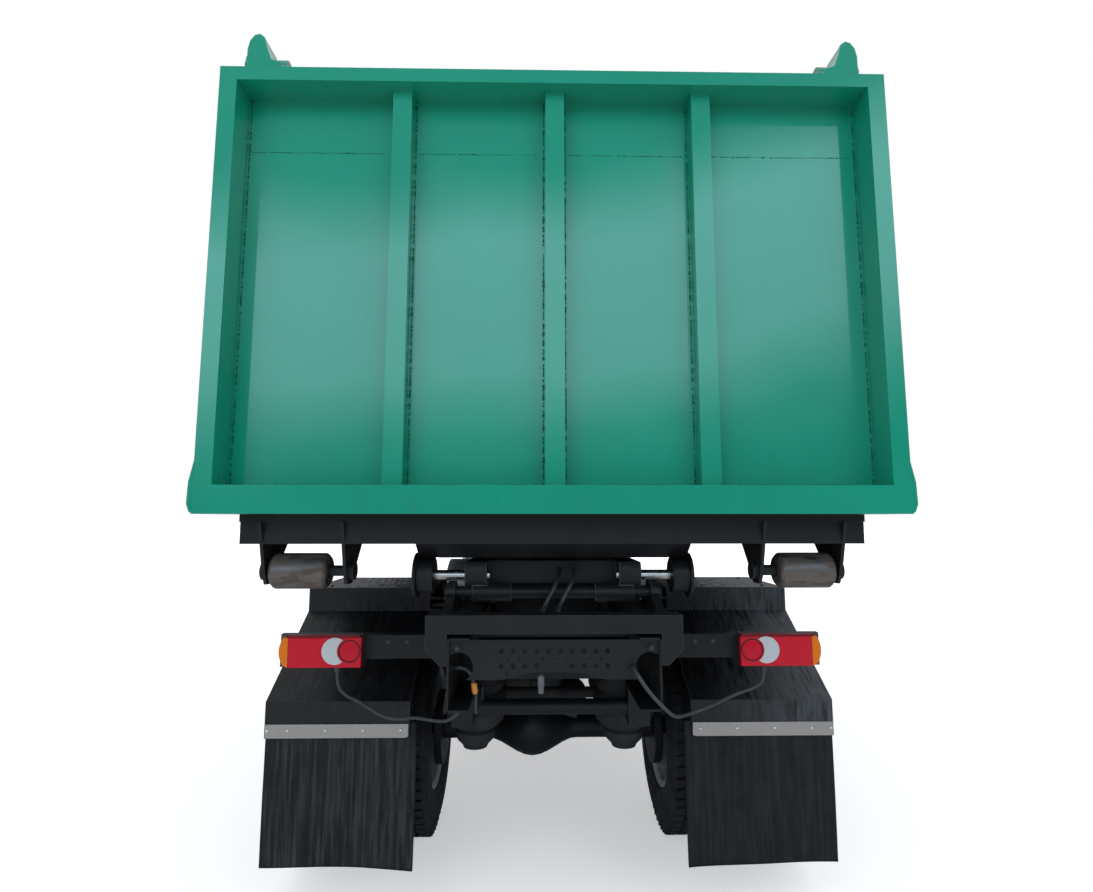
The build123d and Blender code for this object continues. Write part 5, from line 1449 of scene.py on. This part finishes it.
@dataclass
class ChassisFrame(SubAssembly):
    """The ladder frame, its rear beam and axles: rubbed edges with a painted highlight, bolts, brake chambers
    and the axle's stay.
    """

    rail_x: float = RAIL_X
    plate_y: tuple[float, ...] = (TAIL_Y + 1.50, TAIL_Y + 2.45, TAIL_Y + 3.35, TAIL_Y + 4.25)
    plate_rows: tuple = ((RAIL_X, 1.15), (RAIL_X, 1.20), (RAIL_X + 0.008, 1.265))
    diff_x: float = -0.085

    def rail_bolts(self) -> list[Spot]:
        """Bolts through the rails' webs at each fish plate, and along the rails."""
        spots = []
        for side in Side:
            places = []
            for y in self.plate_y:
                for dy in (-0.055, 0.055):
                    places += [(x, y + dy, z) for x, z in self.plate_rows]
            for y in (-3.40, -3.33, -2.98, -2.90, -0.98, -0.90, 1.02, 1.10, 3.20):
                places += [(self.rail_x, y, z) for z in (1.00, 1.06)]
            spots += fixings(side, places, turned_to((side.value, 0, 0)), 0.010, 0.012)
        return spots

    def rear_bolts(self) -> list[Spot]:
        """Bolts that face the camera: on the end plate, the rear beam and the lamp bar."""
        turn = turned_to((0, -1, 0))
        spots = []
        for side in Side:
            spots += fixings(side, from_tail(((0.352, 0.164, 1.185),)), turn, 0.007, 0.008)
            lamp_bolts = from_tail(((0.62, 0.6003, 1.125), (0.70, 0.6003, 1.125)))
            spots += fixings(side, lamp_bolts, turn, 0.006, 0.006)
        return spots

    def axle_fittings(self) -> None:
        """Two brake chambers behind the axle, and the stay that holds the axle from above."""
        made = Builder()
        top = (self.diff_x + 0.01, REAR_AXLE_Y + 0.02, WHEEL_Z + 0.19)
        for side in Side:
            centre = (self.diff_x + side.x(0.215), REAR_AXLE_Y - 0.02, WHEEL_Z + 0.185)
            chamber = [(-0.13, 0.003), (-0.13, 0.05), (-0.118, 0.072), (-0.03, 0.072), (-0.028, 0.080)]
            chamber += [(-0.008, 0.080), (-0.006, 0.070), (0.05, 0.070), (0.062, 0.045), (0.062, 0.003)]
            made.lathe(centre, chamber, 32, 0, (0, 1, 0))
            x, y, z = centre
            made.box((x - 0.03, y - 0.02, WHEEL_Z + 0.04), (x + 0.03, y + 0.02, z))
            made.tube([top, (side.x(0.29), REAR_AXLE_Y + 0.62, 1.02)], 0.032, 16)
        head = (self.diff_x - 0.20, REAR_AXLE_Y - 0.035, WHEEL_Z + 0.06)
        made.box(head, (self.diff_x + 0.24, REAR_AXLE_Y + 0.06, WHEEL_Z + 0.272))
        made.lathe(top, drum(-0.075, 0.06, 0.062, 0.003), 28, 0, (0, 0, 1))
        fittings = self.shop.piece("axle_fittings", made.done(), [IRON], "chassis", "chassis_black")
        self.shop.soften(fittings, 0.006)

    def build(self) -> None:
        """Round the frame's parts and set its bolts."""
        # These nodes get lighter edge paint: rubbed paint with a painted highlight.
        rubbed_and_highlit = {"frame_rails": 0.003, "crossmembers": 0.0025, "subframe": 0.004, "light_bar": 0.004}
        for node, width in rubbed_and_highlit.items():
            self.shop.edged(node, BLACK, width, 2, WORN_EDGE_HIGHLIGHT)
        plain = {"pivot_shaft": 0.002, "guide_rollers": 0.004, "rear_axle": 0.004, "front_axle": 0.003}
        for node, width in plain.items():
            self.shop.edged(node, BLACK, width)
        self.shop.edged("rear_suspension", BELLOW, 0.004)
        self.shop.edged("guide_pins", BRIGHT, 0.002)
        self.axle_fittings()
        bolts = self.rail_bolts() + self.rear_bolts()
        self.shop.scatter("frame_bolts", Fastener.BOLT, bolts, BOLT_METAL, "chassis", "chassis_black", 0.04)


@dataclass
class HookLift(SubAssembly):
    """The tilting frame, the hook arm, the cylinders and the rigid pipes by the rear shaft."""

    pipe_r: float = 0.009
    nut_r: float = 0.014
    apart: float = 0.062
    bends: tuple[Point, ...] = (
        (0.024, 0.435, 1.440), (0.024, 0.380, 1.435), (0.010, 0.305, 1.400), (-0.020, 0.278, 1.345),
        (-0.041, 0.285, 1.300), (-0.045, 0.330, 1.275), (-0.045, 0.450, 1.285), (-0.045, 0.500, 1.392),
    )

    def pipes(self) -> None:
        """Two steel pipes that loop round the rear shaft from one side of the tilt frame to the other."""
        made = Builder()
        for shift in (0.0, self.apart):
            bends = [(x + shift, y - 0.1 * shift, z + 0.15 * shift) for x, y, z in from_tail(self.bends)]
            path = flowing(bends)
            made.tube(path, self.pipe_r, 14)
            made.lathe(path[0], drum(-0.004, 0.022, self.nut_r), 6, 1, (0, -1, 0))
        self.shop.piece("pivot_pipes", made.done(), [PIPE, BOLT_METAL], "tilt_frame", "chassis_black")

    def build(self) -> None:
        """Round the lift's parts and lay its pipes."""
        # The frame's and arm's rounded edges take lighter paint: rubbed paint with a painted highlight.
        self.shop.edged("tilt_frame", BLACK, 0.004, 2, WORN_EDGE_HIGHLIGHT)
        self.shop.edged("jib", BLACK, 0.006, 2, WORN_EDGE_HIGHLIGHT)
        self.shop.edged("cylinder_barrels", BLACK, 0.003)
        self.shop.edged("cylinder_rods", CHROME, 0.002)
        for side in Side:
            self.shop.edged(f"ground_roller_{side.word}", WORN, 0.004)
        self.pipes()


# The cables' routes, with Y from the tailgate's outer face
LEFT_ROUTE = (
    (-0.905, 0.5725, 1.010), (-0.905, 0.5725, 0.955), (-0.868, 0.571, 0.912), (-0.812, 0.570, 0.890),
    (-0.766, 0.568, 0.862), (-0.705, 0.566, 0.826), (-0.640, 0.562, 0.817), (-0.580, 0.557, 0.828),
    (-0.510, 0.553, 0.818), (-0.445, 0.542, 0.812), (-0.392, 0.530, 0.843), (-0.365, 0.520, 0.895),
    (-0.365, 0.520, 0.941),
)
RIGHT_ROUTE = (
    (0.905, 0.5725, 1.010), (0.905, 0.5725, 0.966), (0.862, 0.568, 0.938), (0.790, 0.550, 0.922),
    (0.716, 0.520, 0.903), (0.646, 0.475, 0.890), (0.575, 0.412, 0.889), (0.508, 0.330, 0.898),
    (0.446, 0.225, 0.922), (0.388, 0.128, 0.982), (0.322, 0.084, 1.055), (0.285, 0.076, 1.113),
    (0.285, 0.158, 1.113),
)
INNER_ROUTE = (
    (-0.362, 0.250, 1.098), (-0.326, 0.250, 1.098), (-0.300, 0.256, 1.052), (-0.292, 0.268, 0.985),
    (-0.296, 0.300, 0.925), (-0.302, 0.400, 0.892), (-0.306, 0.540, 0.890), (-0.310, 0.680, 0.912),
    (-0.310, 0.760, 0.908), (-0.310, 0.760, 0.864),
)


@dataclass
class Cables(SubAssembly):
    """The lamp cables: each hangs free between two glands, one with a connector on it."""

    radius: float = 0.007

    def free(self, node: str, route: list[Point], length: float, extras: tuple = ()) -> None:
        """Lay one cable as a smooth line with its route's points as control points.

        Args:
            node: The solid it stands for.
            route: Its points.
            length: Its real length.
            extras: The pieces on it; not used.
        """
        curve = bpy.data.curves.new(f"{node}_line", "CURVE")
        curve.dimensions = "3D"
        curve.bevel_depth = self.radius
        curve.bevel_resolution = 4
        curve.resolution_u = 10
        curve.use_fill_caps = True
        line = curve.splines.new("NURBS")
        line.points.add(len(route) - 1)
        for point, place in zip(line.points, route):
            point.co = (*place, 1)
        line.order_u = 3
        line.use_endpoint_u = True
        curve.materials.append(self.shop.finish(SHEATH))
        made = bpy.data.objects.new(f"{node}_dressed", curve)
        bpy.context.scene.collection.objects.link(made)
        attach(made, "chassis")
        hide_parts(node)
        LOG.info("%s: %.0f mm of cable", node, 1000 * length)

    def connector(self) -> bpy.types.Object:
        """The orange connector on the inner cable."""
        made = Builder()
        place = (-0.2975, TAIL_Y + 0.2605, 1.022)
        shape = [(-0.020, 0.0072), (-0.020, 0.0095), (-0.016, 0.0115), (0.014, 0.0115)]
        shape += [(0.016, 0.0100), (0.021, 0.0100), (0.021, 0.0072)]
        made.lathe(place, shape, 20, 0, (0.10, 0.15, -1.0))
        return self.shop.piece("inner_connector", made.done(), [ORANGE], "chassis", "cable_sheath")

    def plug(self) -> None:
        """The socket that hangs under the end plate's arch on its short rigid tail."""
        made = Builder()
        top = (-0.049, TAIL_Y + 0.195, 1.095)
        made.lathe(top, drum(0.0, 0.020, 0.005, 0.001), 14, 0, (0, 0, -1))
        shell = [(0.012, 0.002), (0.012, 0.009), (0.020, 0.0125), (0.050, 0.0125)]
        shell += [(0.052, 0.0105), (0.072, 0.0105), (0.077, 0.008), (0.077, 0.002)]
        made.lathe(top, shell, 20, 1, (0, 0, -1))
        self.shop.piece("arch_socket", made.done(), [GRAINED, PLUG_GREY], "chassis", "cable_sheath")

    def build(self) -> None:
        """Lay the three cables and hang the socket."""
        self.free("lamp_cable_left", from_tail(LEFT_ROUTE), 0.713)
        self.free("lamp_cable_right", from_tail(RIGHT_ROUTE), 1.018)
        self.free("inner_cable", from_tail(INNER_ROUTE), 0.710, (self.connector(),))
        self.plug()


@dataclass
class Mudguards(SubAssembly):
    """The mudguards' moulded shells, and the bolts of the rear ones."""

    top_z: float = 1.285

    def build(self) -> None:
        """Round the shells and set their bolts."""
        # The shells' fold edges take lighter grey: a painted highlight with rubbing.
        self.shop.edged("rear_mudguards", PLASTIC, 0.003, 2, PLASTIC_EDGE_HIGHLIGHT)
        self.shop.edged("front_mudguards", GRAINED, 0.004)
        spots = []
        for side in Side:
            places = from_tail(tuple((x, y, self.top_z) for x in (0.70, 1.16) for y in (1.26, 1.66)))
            spots += fixings(side, places, (0, 0, 0), 0.010, 0.010)
        self.shop.scatter("mudguard_bolts", Fastener.BOLT, spots, BOLT_METAL, "chassis", "black_plastic")


@dataclass
class Sides(SubAssembly):
    """The tank with its straps and cap, the side boxes, the guards and the engine."""

    tank: tuple[Point, Point] = ((-1.13, 0.10, 0.47), (-0.47, 1.30, 1.05))
    box_face: float = 1.13
    box_y: tuple[float, float] = (0.70, 1.32)
    strap_half: float = 0.03

    def straps(self) -> None:
        """Straps round the tank, a filler cap and its neck."""
        (x0, y0, z0), (x1, y1, z1) = self.tank
        made = Builder()
        for y in (y0 + 0.25, y1 - 0.25):
            low, high = y - self.strap_half, y + self.strap_half
            made.box((x0 - 0.003, low, z0 + 0.06), (x0 + 0.002, high, z1 - 0.06))
            made.box((x0 + 0.06, low, z1 - 0.002), (x1 - 0.06, high, z1 + 0.003))
            made.box((x0 + 0.06, low, z0 - 0.003), (x1 - 0.06, high, z0 + 0.002))
        shape = [(-0.002, 0.002), (-0.002, 0.045), (0.012, 0.045), (0.014, 0.05)]
        shape += [(0.030, 0.05), (0.034, 0.044), (0.034, 0.002)]
        made.lathe((x0 + 0.14, (y0 + y1) / 2, z1), shape, 24, 1, (0, 0, 1))
        self.shop.piece("tank_fittings", made.done(), [STRIP, GRAINED], "chassis", "tank_alloy")

    def latches(self) -> None:
        """The lid seam and two latches on the right side box."""
        made = Builder()
        face, (y0, y1) = self.box_face, self.box_y
        made.box((face - 0.004, y0 + 0.03, 0.845), (face + 0.004, y1 - 0.03, 0.857))
        for y in (y0 + 0.15, y1 - 0.15):
            made.box((face - 0.004, y - 0.02, 0.80), (face + 0.012, y + 0.02, 0.87), 1)
        self.shop.piece("box_latches", made.done(), [GRAINED, BRIGHT], "chassis", "black_plastic")

    def build(self) -> None:
        """Round the pieces and add their fittings."""
        self.shop.edged("fuel_tank", TANK, 0.006)
        self.shop.edged("side_boxes", GRAINED, 0.012)
        self.shop.edged("side_guards", TANK, 0.005)
        self.shop.edged("engine", IRON, 0.004)
        self.straps()
        self.latches()


@dataclass
class Cab(SubAssembly):
    """The cab: shell, doors, bumper, dashboard, grille, mirrors, wipers, window seals and headlamps."""

    front_y: float = CAB_FRONT_Y
    half: float = CAB_HALF

    def grille(self) -> None:
        """A dark mesh behind the grille's slots."""
        made = Builder()
        made.box((-0.655, self.front_y - 0.062, 1.11), (0.655, self.front_y - 0.058, 1.58))
        self.shop.piece("grille_back", made.done(), [GRAINED], "cab", "cab_paint")

    def wipers(self) -> None:
        """Two wipers that rest along the foot of the windscreen."""
        made = Builder()
        for x in (-0.62, 0.18):
            y = self.front_y
            root = (x, y + 0.008, 1.835)
            made.lathe(root, drum(-0.02, 0.012, 0.014), 16, 0, (0, 1, 0))
            made.tube(flowing([root, (x + 0.12, y + 0.018, 1.86), (x + 0.36, y + 0.006, 1.915)]), 0.006, 10)
            made.tube([(x + 0.08, y + 0.001, 1.902), (x + 0.64, y - 0.004, 1.928)], 0.005, 8)
        self.shop.piece("wipers", made.done(), [GRAINED], "cab", "black_plastic")

    def mirrors(self) -> None:
        """Rounded mirror housings with their glass on the rear face."""
        self.shop.edged("mirrors", GRAINED, 0.012)
        made = Builder()
        for side in Side:
            made.box((side.x(1.262), 3.3985, 1.925), (side.x(1.418), 3.402, 2.335))
        self.shop.piece("mirror_glass", made.done(), [CHROME], "cab", "clear_glass")

    def seals(self) -> None:
        """Rubber seals round the door windows."""
        for side in Side:
            made = Builder()
            x = side.x(self.half + 0.001)
            ring = [(x, 2.53, 1.86), (x, 3.25, 1.86), (x, 3.25, 2.40), (x, 3.10, 2.55), (x, 2.53, 2.55)]
            made.tube(ring, 0.007, 8, closed=True)
            name, body = f"window_seal_{side.word}", f"door_{side.word}"
            self.shop.piece(name, made.done(), [GRAINED], body, "black_plastic")

    def headlamps(self) -> None:
        """Lamp units: a dark bowl, two bright reflectors and a clear cover."""
        made = Builder()
        bowl = [(-0.002, 0.050), (0.0, 0.058), (0.014, 0.060), (0.014, 0.055)]
        bowl += [(0.004, 0.04), (0.001, 0.004), (-0.004, 0.004)]
        for side in Side:
            made.box((side.x(0.703), 3.542, 0.563), (side.x(0.997), 3.60, 0.727), 0)
            for x in (0.775, 0.905):
                made.lathe((side.x(x), 3.602, 0.645), bowl, 32, 1, (0, 1, 0))
            made.box((side.x(0.965), 3.60, 0.575), (side.x(0.990), 3.615, 0.715), 2)
            made.box((side.x(0.703), 3.628, 0.563), (side.x(0.997), 3.642, 0.727), 3)
        recipes = [GRAINED, CHROME, AMBER, GLASS]
        lamps = self.shop.piece("headlamps_dressed", made.done(), recipes, "chassis", "lamp_clear")
        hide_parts("headlamps")

    def build(self) -> None:
        """Dress the cab."""
        self.shop.edged("cab_shell", CAB_WHITE, 0.014, 3)
        for side in Side:
            self.shop.edged(f"door_{side.word}", CAB_WHITE, 0.006)
        self.shop.edged("front_bumper", GRAINED, 0.014, 3)
        self.shop.edged("dashboard", DASH, 0.010, 3)
        self.grille()
        self.wipers()
        self.mirrors()
        self.seals()
        self.headlamps()


@dataclass
class Seats(SubAssembly):
    """Two seats: crowned cushions on plain pedestals."""

    middle: float = 0.58
    half: float = 0.25
    back: tuple[tuple[float, float], ...] = ((2.19, 1.66), (2.31, 1.66), (2.235, 2.37), (2.10, 2.37))

    def plump(self, name: str, made: Builder) -> bpy.types.Object:
        """Turn a boxy shape into a soft pad.

        Args:
            name: The pad's name.
            made: Its shape.

        Returns:
            The pad.
        """
        bm = made.done()
        bmesh.ops.bevel(bm, geom=bm.edges[:], offset=0.028, segments=2, profile=0.6, affect="EDGES")
        pad = self.shop.piece(name, bm, [CLOTH], "cab", "seat_fabric")
        pad.modifiers.new("crown", "SUBSURF").levels = 2
        self.shop.settle(pad)
        pad.data.shade_smooth()
        return pad

    def build(self) -> None:
        """Make both seats."""
        stands = Builder()
        pads = []
        for side in Side:
            low, high = side.x(self.middle) - self.half, side.x(self.middle) + self.half
            base = Builder()
            base.box((low, 2.19, 1.55), (high, 2.69, 1.68))
            pads.append(self.plump(f"seat_cushion_{side.word}", base))
            rest = Builder()
            rest.prism([(low, y, z) for y, z in self.back], (high - low, 0, 0))
            pads.append(self.plump(f"seat_back_{side.word}", rest))
            stands.box((side.x(0.40), 2.24, 1.312), (side.x(0.76), 2.64, 1.55))
        stand = self.shop.piece("seat_stands", stands.done(), [DASH], "cab", "dash_plastic")
        self.shop.soften(stand, 0.01)
        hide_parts("seats")
        for pad in pads:
            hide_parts("seats")


PAINTED = {
    "cab_glass": GLASS,
    "door_glass_left": GLASS,
    "door_glass_right": GLASS,
    "knuckle_left": BLACK,
    "knuckle_right": BLACK,
}

SUB_ASSEMBLIES = (
    Cables, Tailgate, Container, ChassisFrame, HookLift, Mudguards,
    Flaps, TailLamps, Wheels, Sides, Cab, Seats,
)


def main() -> None:
    """Build the stage and dress every sub-assembly in order."""
    logging.basicConfig(level=logging.INFO, format="%(message)s")
    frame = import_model()
    shop = Workshop(frame)
    Studio().build()
    for node, recipe in PAINTED.items():
        shop.paint(node, recipe)
    for sub_assembly in SUB_ASSEMBLIES:
        sub_assembly(shop).build()


if __name__ == "__main__":
    main()
